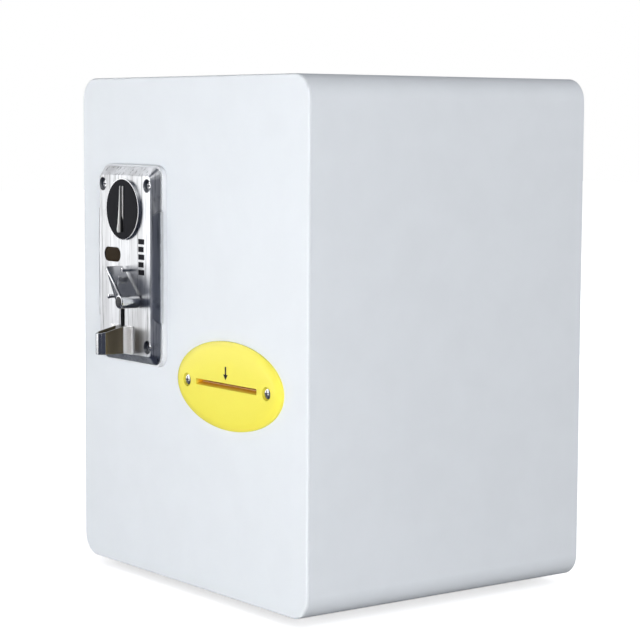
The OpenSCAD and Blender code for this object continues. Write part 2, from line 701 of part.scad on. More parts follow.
// ---- cash box -----------------------------------------------------------------------------------
module cash_runners() color("silver") for (s = [-1, 1]) {
  block(cash_cx + s * (cash_w / 2 - 14) - 5, cash_cx + s * (cash_w / 2 - 14) + 5,
    cash_d0 - 2, cash_d0 + cash_d, floor_z, cash_z0);
  block(cash_cx + s * (cash_w / 2 + 1.25) - 0.75, cash_cx + s * (cash_w / 2 + 1.25) + 0.75,
    cash_d0 - 2, cash_d0 + cash_d, floor_z, cash_z0 + 8);
}

handle_z = cash_z0 + cash_h * 0.72;
handle_w = 46;
handle_r = 1.5;
cash_rear = cash_d0 + cash_d;
module cash_box() color("silver") difference() {
  union() {
    block(cash_cx - cash_w / 2, cash_cx + cash_w / 2, cash_d0, cash_rear, cash_z0, cash_top);
    for (s = [-1, 1]) translate([cash_cx + s * handle_w / 2, 0, 0])
      block(-2, 2, cash_rear, cash_rear + 7, handle_z - 3, handle_z + 3);
  }
  block(cash_cx - cash_w / 2 + cash_wall, cash_cx + cash_w / 2 - cash_wall,
    cash_d0 + cash_wall, cash_rear - cash_wall, cash_z0 + cash_wall, cash_top + 1);
  for (s = [-1, 1]) rod_x(cash_cx + s * handle_w / 2 - 3, cash_cx + s * handle_w / 2 + 3,
    cash_rear + 3.6, handle_z, handle_r + run);
}

module cash_box_lid() color("gray") difference() {
  block(cash_cx - cash_w / 2 - 0.6, cash_cx + cash_w / 2 + 0.6, cash_d0 - 0.6, cash_rear + 0.6,
    cash_top, cash_top + lid_t);
  block(acc_x - chute_w / 2, acc_x + chute_w / 2, chute_d0, chute_d1, cash_top - 1, cash_top + 5);
}

// Wire bail that hangs flat on the box's rear
handle_drop = 24;
module cash_box_handle() color("silver") {
  rod_x(cash_cx - handle_w / 2 - 4, cash_cx - handle_w / 2 + 3 + handle_r, cash_rear + 3.6, handle_z, handle_r);
  rod_x(cash_cx + handle_w / 2 - 3 - handle_r, cash_cx + handle_w / 2 + 4, cash_rear + 3.6, handle_z, handle_r);
  for (s = [-1, 1]) translate([cash_cx + s * (handle_w / 2 - 3 - handle_r), front_y + cash_rear + 3.6, 0]) {
    translate([0, 0, handle_z - handle_drop]) cylinder(h = handle_drop, r = handle_r);
    translate([0, 0, handle_z - handle_drop]) sphere(handle_r);
    translate([0, 0, handle_z]) sphere(handle_r);
  }
  rod_x(cash_cx - handle_w / 2 + 3 + handle_r, cash_cx + handle_w / 2 - 3 - handle_r,
    cash_rear + 3.6, handle_z - handle_drop, handle_r);
}

// ---- ticket mouth -------------------------------------------------------------------------------
bez_screw_r = 1.75;
bez_rim_t = bez_t * 0.4;
// The screws' heads stand on a seat inside the bezel, with play round them
bez_seat = 1.2;
bez_head_r = 3.4;
bez_head_h = 1.6;
// The slot reaches further up than down, and a lead below it opens towards the face
mouth_top = mouth_h * 0.8;
mouth_bottom = mouth_top - mouth_h;
mouth_lead = 1.7;
// Rear face of the dispenser's flange, where the bezel's nuts sit
flange_d1 = panel_t + 1.5;
function ellipse(w, h) = [for (i = [0 : 71]) [w / 2 * cos(5 * i), h / 2 * sin(5 * i)]];

module at_bez() translate([bez_x, 0, bez_z]) children();

module ticket_bezel() color("yellow") at_bez() difference() {
  union() {
    hull() {
      slab(-bez_rim_t, 0) polygon(ellipse(bez_w, bez_hh));
      slab(0.5 - bez_t, 0) polygon(ellipse(bez_w - 9, bez_hh - 9));
      slab(-bez_t, 0) polygon(ellipse(bez_w - 26, bez_hh - 22));
    }
    slab(0, 11) square([neck_w, neck_h], center = true);
  }
  block(-mouth_w / 2, mouth_w / 2, -bez_t - 1, 12, mouth_bottom, mouth_top);
  side_slab(-mouth_w / 2, mouth_w / 2) polygon([[-bez_t - 1, 0], [-bez_t - 1, mouth_bottom - mouth_lead],
    [-0.5, mouth_bottom], [-0.5, 0]]);
  for (s = [-1, 1]) translate([s * bez_screws / 2, 0, 0]) {
    rod_y(-bez_t - 1, 1, bez_screw_r + snug);
    rod_y(-bez_t - 1, -bez_seat, bez_head_r + 0.4);
  }
}

module bezel_screws() color("silver") at_bez() for (s = [-1, 1]) translate([s * bez_screws / 2, 0, 0])
  screw_y(-bez_seat - bez_head_h, -bez_seat, flange_d1 + 5, bez_head_r, bez_screw_r);

module bezel_nuts() color("silver") at_bez() for (s = [-1, 1]) translate([s * bez_screws / 2, 0, 0])
  difference() {
    slab(flange_d1, flange_d1 + 2.8) circle(3.6, $fn = 6);
    rod_y(flange_d1 - 1, flange_d1 + 4, bez_screw_r + snug);
  }

// ---- ticket drive -------------------------------------------------------------------------------
cheek_t = 1.5;
cheek_x = 33.25;
cheek_d1 = 74;
cheek_bot = -37;
cheek_top = 18;
strip_t = 0.3;
drive_z = -strip_t / 2 - gap - drive_r;
pinch_z = strip_t / 2 + gap + pinch_r;
bush_r = 5;
// The bushes' flanges pass under the lower guide
bush_flange_r = max(bush_r, drive_r - 2.5);
gear_x0 = cheek_x + cheek_t + 2.2;
gear_t = 5;
mesh_gap = 0.12;
gear_dist = gear_mod * (gear_teeth + pinion_teeth) / 2 + mesh_gap;
motor_drop = 10;
motor_dd = sqrt(gear_dist * gear_dist - motor_drop * motor_drop);
motor_d = roller_d + motor_dd;
motor_z = drive_z - motor_drop;
motor_shaft_r = 1.5;
pivot_d = roller_d + 20;
pivot_z = pinch_z + 5;
pivot_r = 2;
arm_x = 26;
arm_t = 2;
axle_r = 2;
roller_x = 16;
roller_len = 11;

module dispenser_frame() color("silver") at_bez() difference() {
  union() {
    slab(panel_t, flange_d1) square([bez_screws + 12, 36], center = true);
    for (s = [-1, 1]) {
      side_slab(s > 0 ? cheek_x : -cheek_x - cheek_t, s > 0 ? cheek_x + cheek_t : -cheek_x)
        polygon([[panel_t, -18], [panel_t, cheek_top], [cheek_d1 - 12, cheek_top], [cheek_d1, cheek_top - 10],
          [cheek_d1, cheek_bot], [14, cheek_bot]]);
    }
    block(-cheek_x - cheek_t, cheek_x + cheek_t, 14, cheek_d1, cheek_bot, cheek_bot + cheek_t);
  }
  slab(0, 8) square([neck_w + 2 * gap, neck_h + 2 * gap], center = true);
  for (s = [-1, 1]) translate([s * bez_screws / 2, 0, 0]) rod_y(0, 8, bez_screw_r + snug);
  rod_x(-50, 50, roller_d, drive_z, bush_r + snug);
  rod_x(-50, 50, pivot_d, pivot_z, pivot_r + snug);
  rod_x(0, 50, motor_d, motor_z, 4);
}

// Lower and upper plates that the ticket runs between, with windows for the rollers
module ticket_guides() color("gray") at_bez() for (s = [-1, 1]) difference() {
  block(-cheek_x, cheek_x, 11.5, cheek_d1 - 2, s > 0 ? 0.9 : -2.4, s > 0 ? 2.4 : -0.9);
  for (x = [-1, 1]) block(x * roller_x - roller_len / 2 - 1, x * roller_x + roller_len / 2 + 1,
    roller_d - 9, roller_d + 9, -5, 5);
}

module drive_shaft() color("silver") at_bez()
  rod_x(-cheek_x - 5, gear_x0 + gear_t + 1, roller_d, drive_z, shaft_r);

module drive_rollers() color("black") at_bez() for (x = [-1, 1]) difference() {
  rod_x(x * roller_x - roller_len / 2, x * roller_x + roller_len / 2, roller_d, drive_z, drive_r);
  rod_x(x * roller_x - roller_len, x * roller_x + roller_len, roller_d, drive_z, shaft_r + snug);
}

module shaft_bushes() color("gold") at_bez() for (s = [-1, 1]) difference() {
  union() {
    rod_x(s > 0 ? cheek_x - 1.5 : -cheek_x - cheek_t - 1.5, s > 0 ? cheek_x + cheek_t + 1.5 : 1.5 - cheek_x,
      roller_d, drive_z, bush_r);
    rod_x(s > 0 ? cheek_x - 1.5 : -cheek_x, s > 0 ? cheek_x : 1.5 - cheek_x, roller_d, drive_z, bush_flange_r);
  }
  rod_x(-60, 60, roller_d, drive_z, shaft_r + run);
}

module drive_gear() color("ivory") at_bez() translate([gear_x0, front_y + roller_d, drive_z])
  rotate([90, 0, 90]) linear_extrude(gear_t) gear_2d(gear_teeth, gear_mod, shaft_r + snug);

module motor() color("silver") at_bez() {
  rod_x(cheek_x - motor_len, cheek_x - 20, motor_d, motor_z, motor_r - 0.6);
  rod_x(cheek_x - 20, cheek_x, motor_d, motor_z, motor_r);
  rod_x(cheek_x - 1, cheek_x + cheek_t, motor_d, motor_z, 3.6);
  rod_x(cheek_x - motor_len - 3, cheek_x - motor_len, motor_d, motor_z, 4);
}

// The pinion turns so that a tooth meets a gap of the big gear
mesh_dir = atan2(-motor_drop, motor_dd);
pinion_turn = mesh_dir + 180 - (mesh_dir * -gear_teeth / pinion_teeth) + 180 / pinion_teeth;
module motor_pinion() color("gold") at_bez() {
  translate([gear_x0 - 0.5, front_y + motor_d, motor_z]) rotate([90, 0, 90]) linear_extrude(gear_t + 1)
    rotate(pinion_turn) gear_2d(pinion_teeth, gear_mod, motor_shaft_r);
  rod_x(cheek_x + cheek_t + gap, gear_x0 + gear_t + 1, motor_d, motor_z, motor_shaft_r + 0.01);
}

module pinch_pivot() color("silver") at_bez()
  rod_x(-cheek_x - cheek_t - 1, cheek_x + cheek_t + 1, pivot_d, pivot_z, pivot_r);

module pinch_arm() color("silver") at_bez() {
  lean = atan2(pinch_z - pivot_z, pivot_d - roller_d);
  reach = norm([pinch_z - pivot_z, pivot_d - roller_d]);
  for (s = [-1, 1]) difference() {
    side_slab(s * arm_x - arm_t / 2, s * arm_x + arm_t / 2) translate([pivot_d, pivot_z])
      rotate(90 - lean) teardrop(4.2, 4, reach);
    rod_x(-40, 40, pivot_d, pivot_z, pivot_r + run);
    rod_x(-40, 40, roller_d, pinch_z, axle_r + run);
  }
  block(-arm_x - arm_t / 2, arm_x + arm_t / 2, pivot_d - 9, pivot_d - 6, pivot_z - 2, pivot_z + 3);
}

module pinch_rollers() color("black") at_bez() {
  rod_x(-arm_x - 2, arm_x + 2, roller_d, pinch_z, axle_r);
  for (x = [-1, 1]) rod_x(x * roller_x - roller_len / 2 + 1, x * roller_x + roller_len / 2 - 1,
    roller_d, pinch_z, pinch_r);
}

module pinch_spring() color("silver") at_bez() translate([-5, front_y + pivot_d, pivot_z])
  rotate([0, 90, 0]) coil(pivot_r + 0.8, 0.4, 1.25, 8);

// ---- ticket store -------------------------------------------------------------------------------
tray_w = mouth_w + 6;
psu_d0 = 10;
psu_d1 = 68;
psu_block = 9;
tray_d0 = psu_d1 + psu_block + 2;
tray_wall = 1.2;
bend_r = 22;

module ticket_tray() color("silver") difference() {
  block(bez_x - tray_w / 2, bez_x + tray_w / 2, tray_d0, tray_d0 + tray_d, floor_z, floor_z + tray_h);
  block(bez_x - tray_w / 2 + tray_wall, bez_x + tray_w / 2 - tray_wall, tray_d0 + tray_wall,
    tray_d0 + tray_d - tray_wall, floor_z + tray_wall, floor_z + tray_h + 1);
  block(bez_x - 14, bez_x + 14, tray_d0 + tray_d - 5, tray_d0 + tray_d + 5, floor_z + 20, floor_z + tray_h + 1);
}

fold_t = 1.5;
stack_d0 = tray_d0 + tray_wall + 1;
stack_d1 = tray_d0 + tray_d - tray_wall - 1;
stack_z0 = floor_z + tray_wall;
module ticket_stack() color("moccasin") for (z = [0 : fold_t : stack_h - fold_t])
  block(bez_x - ticket_w / 2, bez_x + ticket_w / 2, stack_d0 + (z / fold_t % 2) * 0.4,
    stack_d1 - (z / fold_t % 2) * 0.4, stack_z0 + z, stack_z0 + z + fold_t);

// Strip of tickets from the stack's top up over a bend and out to the mouth
strip_top = stack_z0 + floor(stack_h / fold_t) * fold_t;
strip_bend_d = cheek_d1 + 1;
module ticket_strip() color("moccasin") {
  block(bez_x - ticket_w / 2, bez_x + ticket_w / 2, 0.5, strip_bend_d,
    bez_z - strip_t / 2, bez_z + strip_t / 2);
  translate([bez_x - ticket_w / 2, front_y + strip_bend_d, bez_z - bend_r]) rotate([90, 0, 90])
    rotate_extrude(angle = 90) translate([bend_r - strip_t / 2, 0]) square([strip_t, ticket_w]);
  block(bez_x - ticket_w / 2, bez_x + ticket_w / 2, strip_bend_d + bend_r - strip_t / 2,
    strip_bend_d + bend_r + strip_t / 2, strip_top, bez_z - bend_r);
}

// ---- electrics ----------------------------------------------------------------------------------
psu_x0 = 4;
psu_x1 = foot_xs - foot_screw_r - 2.5;
psu_h = 33;
module power_supply() color("silver") difference() {
  union() {
    block(psu_x0, psu_x1, psu_d0, psu_d1, floor_z, floor_z + psu_h);
    block(psu_x0 + 12, psu_x1 - 12, psu_d1, psu_d1 + psu_block, floor_z + 4, floor_z + 16);
  }
  for (i = [0 : 7]) block(psu_x0 + 10 + 7 * i, psu_x0 + 13 + 7 * i, psu_d0 + 10, psu_d1 - 10,
    floor_z + psu_h - 1, floor_z + psu_h + 1);
  for (i = [0 : 4]) block(psu_x0 + 15 + 9 * i, psu_x0 + 21 + 9 * i, psu_d1 + 3, psu_d1 + psu_block + 1,
    floor_z + 7, floor_z + 17);
}

pcb_d0 = cab_d - 112;
pcb_d1 = cab_d - 22;
pcb_z0 = foot_h + 168;
pcb_z1 = foot_h + 248;
pcb_x1 = inner_x - 8;
pcb_x0 = pcb_x1 - 1.6;
button_d = pcb_d1 - 14;
button_z = pcb_z0 + 14;
button_r = 2;

// Board on four spacers along the right-hand wall, its parts facing inwards
module control_board() color("darkgreen") {
  difference() {
    union() {
      block(pcb_x0, pcb_x1, pcb_d0, pcb_d1, pcb_z0, pcb_z1);
      for (d = [pcb_d0 + 6, pcb_d1 - 6], z = [pcb_z0 + 6, pcb_z1 - 6]) {
        rod_x(pcb_x1, inner_x, d, z, 3);
        rod_x(pcb_x0 - 2, pcb_x0, d, z, 2.6);
      }
      block(pcb_x0 - 8, pcb_x0, pcb_d0 + 14, pcb_d0 + 50, pcb_z1 - 12, pcb_z1 - 4);
      block(pcb_x0 - 8, pcb_x0, pcb_d0 + 14, pcb_d0 + 40, pcb_z0 + 3, pcb_z0 + 11);
      block(pcb_x0 - 4, pcb_x0, pcb_d0 + 30, pcb_d0 + 56, pcb_z0 + 34, pcb_z0 + 46);
      block(pcb_x0 - 15, pcb_x0, pcb_d0 + 62, pcb_d0 + 80, pcb_z0 + 30, pcb_z0 + 46);
      for (z = [30, 44]) rod_x(pcb_x0 - 12, pcb_x0, pcb_d0 + 14, pcb_z0 + z, 5);
      block(pcb_x0 - 4, pcb_x0, button_d - 4, button_d + 4, button_z - 4, button_z + 4);
    }
    rod_x(pcb_x0 - 5, pcb_x0 - 0.5, button_d, button_z, button_r + run);
  }
}

module feed_button() color("crimson") rod_x(pcb_x0 - 7, pcb_x0 - 2, button_d, button_z, button_r);

// Inlet, its fuse drawer and the mains switch, in the fixed strip below the door
inlet_w = 28;
inlet_h = 32;
drawer_w = 20;
drawer_h = 7;
drawer_z = -11;
switch_w = 19;
switch_h = 13;
switch_depth = 16;
rocker_w = 10;

module power_inlet() color("black") {
  translate([inlet_x, 0, inlet_z]) difference() {
    union() {
      slab(cab_d, cab_d + 2.5) rrect(48, inlet_h + 8, 4);
      block(-inlet_w / 2 + snug, inlet_w / 2 - snug, cab_d - 24, cab_d, snug - inlet_h / 2, inlet_h / 2 - snug);
      for (x = [-8, 0, 8]) block(x - 1.5, x + 1.5, cab_d - 32, cab_d - 23, 3, 4);
    }
    difference() {
      block(-12, 12, cab_d - 18, cab_d + 3, -4, 12);
      for (x = [-7, 0, 7]) block(x - 1, x + 1, cab_d - 19, cab_d - 2, x == 0 ? 5 : 1, x == 0 ? 9 : 5);
    }
    block(-drawer_w / 2 - gap, drawer_w / 2 + gap, cab_d - 20, cab_d + 3,
      drawer_z - drawer_h / 2 - gap, drawer_z + drawer_h / 2 + gap);
    for (x = [-20, 20]) translate([x, 0, 0]) rod_y(cab_d - 1, cab_d + 3, 1.7);
  }
  translate([switch_x, 0, inlet_z]) difference() {
    union() {
      slab(cab_d, cab_d + 1.8) rrect(switch_w + 4, switch_h + 4, 1.5);
      block(-switch_w / 2 + snug, switch_w / 2 - snug, cab_d - switch_depth, cab_d,
        snug - switch_h / 2, switch_h / 2 - snug);
      for (x = [-5, 5]) block(x - 0.4, x + 0.4, cab_d - switch_depth - 8, cab_d - switch_depth + 1, -2.4, 2.4);
    }
    block(-rocker_r - 0.5, rocker_r + 0.5, cab_d - 8, cab_d + 3, -rocker_w / 2 - gap, rocker_w / 2 + gap);
    translate([0, front_y + cab_d - 1.5, -8]) cylinder(h = 16, r = 1 + run);
  }
}

module fuse_drawer() color("dimgray") translate([inlet_x, 0, inlet_z]) difference() {
  block(-drawer_w / 2, drawer_w / 2, cab_d - 19, cab_d + 2.9, drawer_z - drawer_h / 2, drawer_z + drawer_h / 2);
  rod_x(-9, 9, cab_d - 10, drawer_z, 2.6);
  block(-9, 9, cab_d - 12.6, cab_d - 7.4, drawer_z, drawer_z + 5);
}

// Rocker that tips about an upright pin, drawn in its off position
rocker_r = 7.6;
rocker_tip = 8;
module switch_rocker() color("crimson") translate([switch_x, front_y + cab_d - 1.5, inlet_z]) {
  translate([0, 0, -rocker_w / 2]) linear_extrude(rocker_w) rotate(rocker_tip)
    polygon([[-rocker_r, -0.5], [-rocker_r, 4.2], [0, 3], [rocker_r, 4.2], [rocker_r, -0.5], [3, -3], [-3, -3]]);
  translate([0, 0, -switch_h / 2 + 0.6]) cylinder(h = switch_h - 1.2, r = 1);
}

cabinet_wrap();
front_panel();
rear_panel();
feet();
foot_screws();
rear_door();
door_hinge_leaves();
frame_hinge_leaves();
hinge_pins();
lock_barrel();
lock_nut();
lock_plug();
lock_cam();
acceptor_spacer();
acceptor_plate();
acceptor_screws();
coin_entry_disc();
coin_slot_lips();
value_window();
return_lever();
lever_shaft();
lever_cap();
lever_spring();
stop_pins();
return_cup();
acceptor_body();
return_gate();
gate_pin();
solenoid();
solenoid_plunger();
acceptor_board();
coin_chute();
cash_runners();
cash_box();
cash_box_lid();
cash_box_handle();
ticket_bezel();
bezel_screws();
bezel_nuts();
dispenser_frame();
ticket_guides();
drive_shaft();
drive_rollers();
shaft_bushes();
drive_gear();
motor();
motor_pinion();
pinch_pivot();
pinch_arm();
pinch_rollers();
pinch_spring();
ticket_tray();
ticket_stack();
ticket_strip();
power_supply();
control_board();
feed_button();
power_inlet();
fuse_drawer();
switch_rocker();
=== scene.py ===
"""Looks of a coin-operated ticket vending machine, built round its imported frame.

Sizes are in millimetres and places come from the frame's own boxes. +Z is up, the front faces -Y,
and +X is to the right of someone facing the front.
"""
import sys

import json
import logging
import math
from contextlib import contextmanager
from dataclasses import dataclass, field
from enum import Enum
from typing import Callable, ClassVar, Iterator, Sequence

import bmesh
import bpy
from mathutils import Matrix, Vector

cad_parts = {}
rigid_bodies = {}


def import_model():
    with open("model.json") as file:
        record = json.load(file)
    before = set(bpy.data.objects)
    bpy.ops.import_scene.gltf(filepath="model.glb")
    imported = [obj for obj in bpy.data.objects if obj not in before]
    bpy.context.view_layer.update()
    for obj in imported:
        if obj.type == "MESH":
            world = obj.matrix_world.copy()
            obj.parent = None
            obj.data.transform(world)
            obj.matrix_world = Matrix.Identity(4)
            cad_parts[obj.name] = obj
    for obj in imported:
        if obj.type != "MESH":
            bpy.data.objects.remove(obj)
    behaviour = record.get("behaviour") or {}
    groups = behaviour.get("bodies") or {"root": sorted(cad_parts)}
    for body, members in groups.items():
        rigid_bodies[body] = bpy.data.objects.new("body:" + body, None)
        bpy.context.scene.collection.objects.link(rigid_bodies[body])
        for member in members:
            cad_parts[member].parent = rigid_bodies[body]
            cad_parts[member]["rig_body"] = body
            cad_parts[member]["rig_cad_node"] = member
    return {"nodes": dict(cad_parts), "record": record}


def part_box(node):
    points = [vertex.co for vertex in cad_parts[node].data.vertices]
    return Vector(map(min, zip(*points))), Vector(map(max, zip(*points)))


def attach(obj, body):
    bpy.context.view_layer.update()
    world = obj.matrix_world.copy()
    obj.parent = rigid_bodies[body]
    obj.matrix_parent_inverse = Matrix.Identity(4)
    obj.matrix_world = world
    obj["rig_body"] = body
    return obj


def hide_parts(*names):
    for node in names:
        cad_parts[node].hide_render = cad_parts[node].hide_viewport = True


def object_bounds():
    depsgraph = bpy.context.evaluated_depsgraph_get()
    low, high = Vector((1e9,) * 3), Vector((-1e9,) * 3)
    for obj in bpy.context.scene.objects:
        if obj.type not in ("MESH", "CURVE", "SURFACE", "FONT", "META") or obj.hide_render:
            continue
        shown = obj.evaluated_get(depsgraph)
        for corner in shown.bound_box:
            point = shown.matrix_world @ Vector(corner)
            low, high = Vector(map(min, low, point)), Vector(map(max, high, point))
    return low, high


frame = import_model()
CAD_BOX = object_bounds()
LOG = logging.getLogger("ticket_machine")
MM = 0.001
BODY_OF = {node: body for body, nodes in frame["record"]["behaviour"]["bodies"].items()
           for node in nodes}

Colour = tuple[float, float, float]
Point = tuple[float, float]
Piece = bpy.types.Object
Socket = bpy.types.NodeSocket
Tree = bpy.types.NodeTree


# ---- places -------------------------------------------------------------------------------------
def mm(x: float, y: float, z: float) -> Vector:
    """Gives a step in metres from one in millimetres."""
    return Vector((x, y, z)) * MM


@dataclass(frozen=True)
class Datum:
    """A working point on the front face: millimetres right, out of the face and up from it."""

    x: float
    y: float
    z: float

    @classmethod
    def over(cls, node: str) -> "Datum":
        """Puts the datum over a node's middle, on the plane of the front panel's face.

        Args:
            node: Name of the CAD node.

        Returns:
            The datum.
        """
        low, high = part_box(node)
        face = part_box("front_panel")[0].y
        return cls((low.x + high.x) / 2 / MM, face / MM, (low.z + high.z) / 2 / MM)

    def at(self, right: float, out: float, up: float) -> Vector:
        """Gives a place in metres in the shared frame.

        Args:
            right: Distance to the right.
            out: Distance out of the front face; negative is into the cabinet.
            up: Distance upwards.

        Returns:
            The place.
        """
        return mm(self.x + right, self.y - out, self.z + up)


class Axis(Enum):
    """A direction that round pieces are turned about, and the one their radius is drawn in."""

    OUT = (Vector((0, -1, 0)), Vector((1, 0, 0)))
    BACK = (Vector((0, 1, 0)), Vector((1, 0, 0)))
    UP = (Vector((0, 0, 1)), Vector((1, 0, 0)))

    @property
    def turn(self) -> tuple[float, float, float]:
        """The rotation that lays a primitive's own Z along the axis."""
        return tuple(self.value[0].to_track_quat("Z", "Y").to_euler())


class Kind(Enum):
    """What a selection is made of."""

    VERT = "VERT"
    EDGE = "EDGE"
    FACE = "FACE"


# ---- modelling ----------------------------------------------------------------------------------
def facing(way: int) -> Callable:
    """Gives a test for faces that face the front (-1) or the back (1)."""
    return lambda face: face.normal.y * way > 0.9


def running_back(least: float) -> Callable:
    """Gives a test for edges that run further from front to back than so many millimetres."""
    return lambda edge: abs(edge.verts[0].co.y - edge.verts[1].co.y) > least * MM


class Bench:
    """The bench that meshes are made at."""

    @staticmethod
    def pull(step: Vector) -> None:
        """Extrudes what is selected by a step."""
        bpy.ops.mesh.extrude_region_move(TRANSFORM_OT_translate={"value": step})

    @staticmethod
    def round_off(width: float, segments: int) -> None:
        """Rounds the selected edges to a width in millimetres."""
        bpy.ops.mesh.bevel(offset=width * MM, segments=segments, affect="EDGES")

    @staticmethod
    def clear() -> None:
        """Deselects everything."""
        bpy.ops.object.select_all(action="DESELECT")

    @staticmethod
    def take(obj: Piece) -> Piece:
        """Makes an object the only selected one, and the active one."""
        Bench.clear()
        obj.select_set(True)
        bpy.context.view_layer.objects.active = obj
        return obj

    @staticmethod
    def named(name: str) -> Piece:
        """Names the new primitive and puts its place into its mesh."""
        obj = bpy.context.object
        obj.name = obj.data.name = name
        bpy.ops.object.transform_apply(location=True, rotation=True, scale=True)
        return obj

    @staticmethod
    def block(name: str, one: Vector, other: Vector) -> Piece:
        """Adds a block between two opposite corners, as a start.

        Args:
            name: Name of the piece.
            one: A corner.
            other: The opposite corner.

        Returns:
            The new object.
        """
        Bench.clear()
        size = Vector([abs(a - b) for a, b in zip(one, other)])
        bpy.ops.mesh.primitive_cube_add(size=1, location=(one + other) / 2, scale=size)
        return Bench.named(name)

    @staticmethod
    def rod(name: str, start: Vector, axis: Axis, radius: float, length: float,
            sides: int = 48) -> Piece:
        """Adds a round bar that begins at a place and runs along an axis.

        Args:
            name: Name of the piece.
            start: Middle of its first end.
            axis: Direction that it runs in.
            radius: Its radius.
            length: Its length.
            sides: Number of sides.

        Returns:
            The new object.
        """
        Bench.clear()
        bpy.ops.mesh.primitive_cylinder_add(
            vertices=sides, radius=radius * MM, depth=length * MM,
            location=start + axis.value[0] * length * MM / 2, rotation=axis.turn)
        return Bench.named(name)

    @staticmethod
    @contextmanager
    def shaping(obj: Piece, test: Callable | None = None,
                kind: Kind = Kind.FACE) -> Iterator[None]:
        """Opens an object in edit mode with only the parts selected that pass a test.

        Args:
            obj: The object.
            test: Says whether a vertex, edge or face is selected; None selects all.
            kind: Which of the three is asked about.

        Yields:
            Nothing; the object is closed again afterwards.
        """
        Bench.take(obj)
        bpy.ops.object.mode_set(mode="EDIT")
        bpy.ops.mesh.select_mode(type=kind.value)
        bpy.ops.mesh.select_all(action="SELECT" if test is None else "DESELECT")
        if test is not None:
            mesh = bmesh.from_edit_mesh(obj.data)
            for part in {Kind.VERT: mesh.verts, Kind.EDGE: mesh.edges, Kind.FACE: mesh.faces}[kind]:
                if test(part):
                    part.select_set(True)
            mesh.select_flush_mode()
            bmesh.update_edit_mesh(obj.data)
        yield
        bpy.ops.object.mode_set(mode="OBJECT")

    @staticmethod
    def trace(name: str, points: Sequence[Vector]) -> Piece:
        """Draws a chain of points by collapsing a plane to one vertex and extruding it on.

        Args:
            name: Name of the piece.
            points: The chain, in order.

        Returns:
            The new object, with edges only.
        """
        Bench.clear()
        bpy.ops.mesh.primitive_plane_add(size=MM, location=points[0])
        obj = Bench.named(name)
        with Bench.shaping(obj, kind=Kind.VERT):
            bpy.ops.mesh.merge(type="CENTER")
            for before, after in zip(points, points[1:]):
                Bench.pull(after - before)
        return obj

    @staticmethod
    def lathe(name: str, centre: Vector, axis: Axis, profile: Sequence[Point],
              steps: int = 48) -> Piece:
        """Turns a profile about an axis.

        Args:
            name: Name of the piece.
            centre: Where the profile's zero lies on the axis.
            axis: The axis.
            profile: Pairs of radius and distance along the axis; a solid piece begins and ends on
                the axis, or closes on itself.
            steps: Number of steps round.

        Returns:
            The new object.
        """
        along, across = axis.value
        obj = Bench.trace(name, [centre + (across * r + along * d) * MM for r, d in profile])
        with Bench.shaping(obj, kind=Kind.VERT):
            bpy.ops.mesh.spin(steps=steps, angle=math.tau, center=centre, axis=along)
        Bench.mend(obj)
        return obj

    @staticmethod
    def prism(name: str, points: Sequence[Vector], step: Vector) -> Piece:
        """Fills an outline and extrudes it.

        Args:
            name: Name of the piece.
            points: The outline, in order.
            step: Direction and length of the extrusion.

        Returns:
            The new object.
        """
        obj = Bench.trace(name, points)
        with Bench.shaping(obj, kind=Kind.VERT):
            bpy.ops.mesh.edge_face_add()
            bpy.ops.mesh.select_mode(type="FACE")
            bpy.ops.mesh.select_all(action="SELECT")
            Bench.pull(step)
        Bench.mend(obj)
        return obj

    @staticmethod
    def mend(obj: Piece) -> None:
        """Merges doubled vertices and turns all faces outwards."""
        with Bench.shaping(obj):
            bpy.ops.mesh.remove_doubles(threshold=0.002 * MM)
            bpy.ops.mesh.normals_make_consistent(inside=False)

    @staticmethod
    def modify(obj: Piece, kind: str, **settings: object) -> None:
        """Adds a modifier with its settings and applies it."""
        Bench.take(obj)
        modifier = obj.modifiers.new(kind.lower(), kind)
        for key, value in settings.items():
            setattr(modifier, key, value)
        bpy.ops.object.modifier_apply(modifier=modifier.name)

    @staticmethod
    def soften(obj: Piece, width: float, segments: int = 2, angle: float = 32) -> None:
        """Rounds every edge that is sharper than an angle.

        Args:
            obj: The object.
            width: Width of the rounding.
            segments: Number of facets across it.
            angle: The angle in degrees.
        """
        Bench.modify(obj, "BEVEL", width=width * MM, segments=segments, limit_method="ANGLE",
                     angle_limit=math.radians(angle), miter_outer="MITER_ARC")

    @staticmethod
    def combine(obj: Piece, others: Sequence[Piece], how: str) -> None:
        """Cuts other pieces out of an object, or joins them to it as one solid.

        Args:
            obj: The object.
            others: The other pieces, which are used up.
            how: DIFFERENCE or UNION.
        """
        for other in others:
            Bench.modify(obj, "BOOLEAN", operation=how, solver="EXACT", object=other)
            bpy.data.objects.remove(other)

    @staticmethod
    def cut(obj: Piece, *others: Piece) -> None:
        """Cuts other pieces out of an object."""
        Bench.combine(obj, others, "DIFFERENCE")

    @staticmethod
    def weld(obj: Piece, *others: Piece) -> None:
        """Joins other pieces to an object as one solid."""
        Bench.combine(obj, others, "UNION")

    @staticmethod
    def gather(name: str, objects: Sequence[Piece]) -> Piece:
        """Puts separate shapes into one object.

        Args:
            name: Name of the object.
            objects: The shapes.

        Returns:
            The object.
        """
        Bench.take(objects[0])
        for obj in objects[1:]:
            obj.select_set(True)
        if len(objects) > 1:
            bpy.ops.object.join()
        made = bpy.context.object
        made.name = made.data.name = name
        return made

    @staticmethod
    def repeat(obj: Piece, moves: Sequence[Vector]) -> Piece:
        """Copies a shape to other places, each copy with its own mesh, and gathers them.

        Args:
            obj: The shape.
            moves: Moves from the shape's place to each copy's.

        Returns:
            One object that holds the shape and its copies.
        """
        name, made = obj.name, [obj]
        for move in moves:
            Bench.take(obj)
            bpy.ops.object.duplicate()
            bpy.ops.transform.translate(value=move)
            bpy.ops.object.transform_apply(location=True, rotation=True, scale=True)
            made.append(bpy.context.object)
        return Bench.gather(name, made)

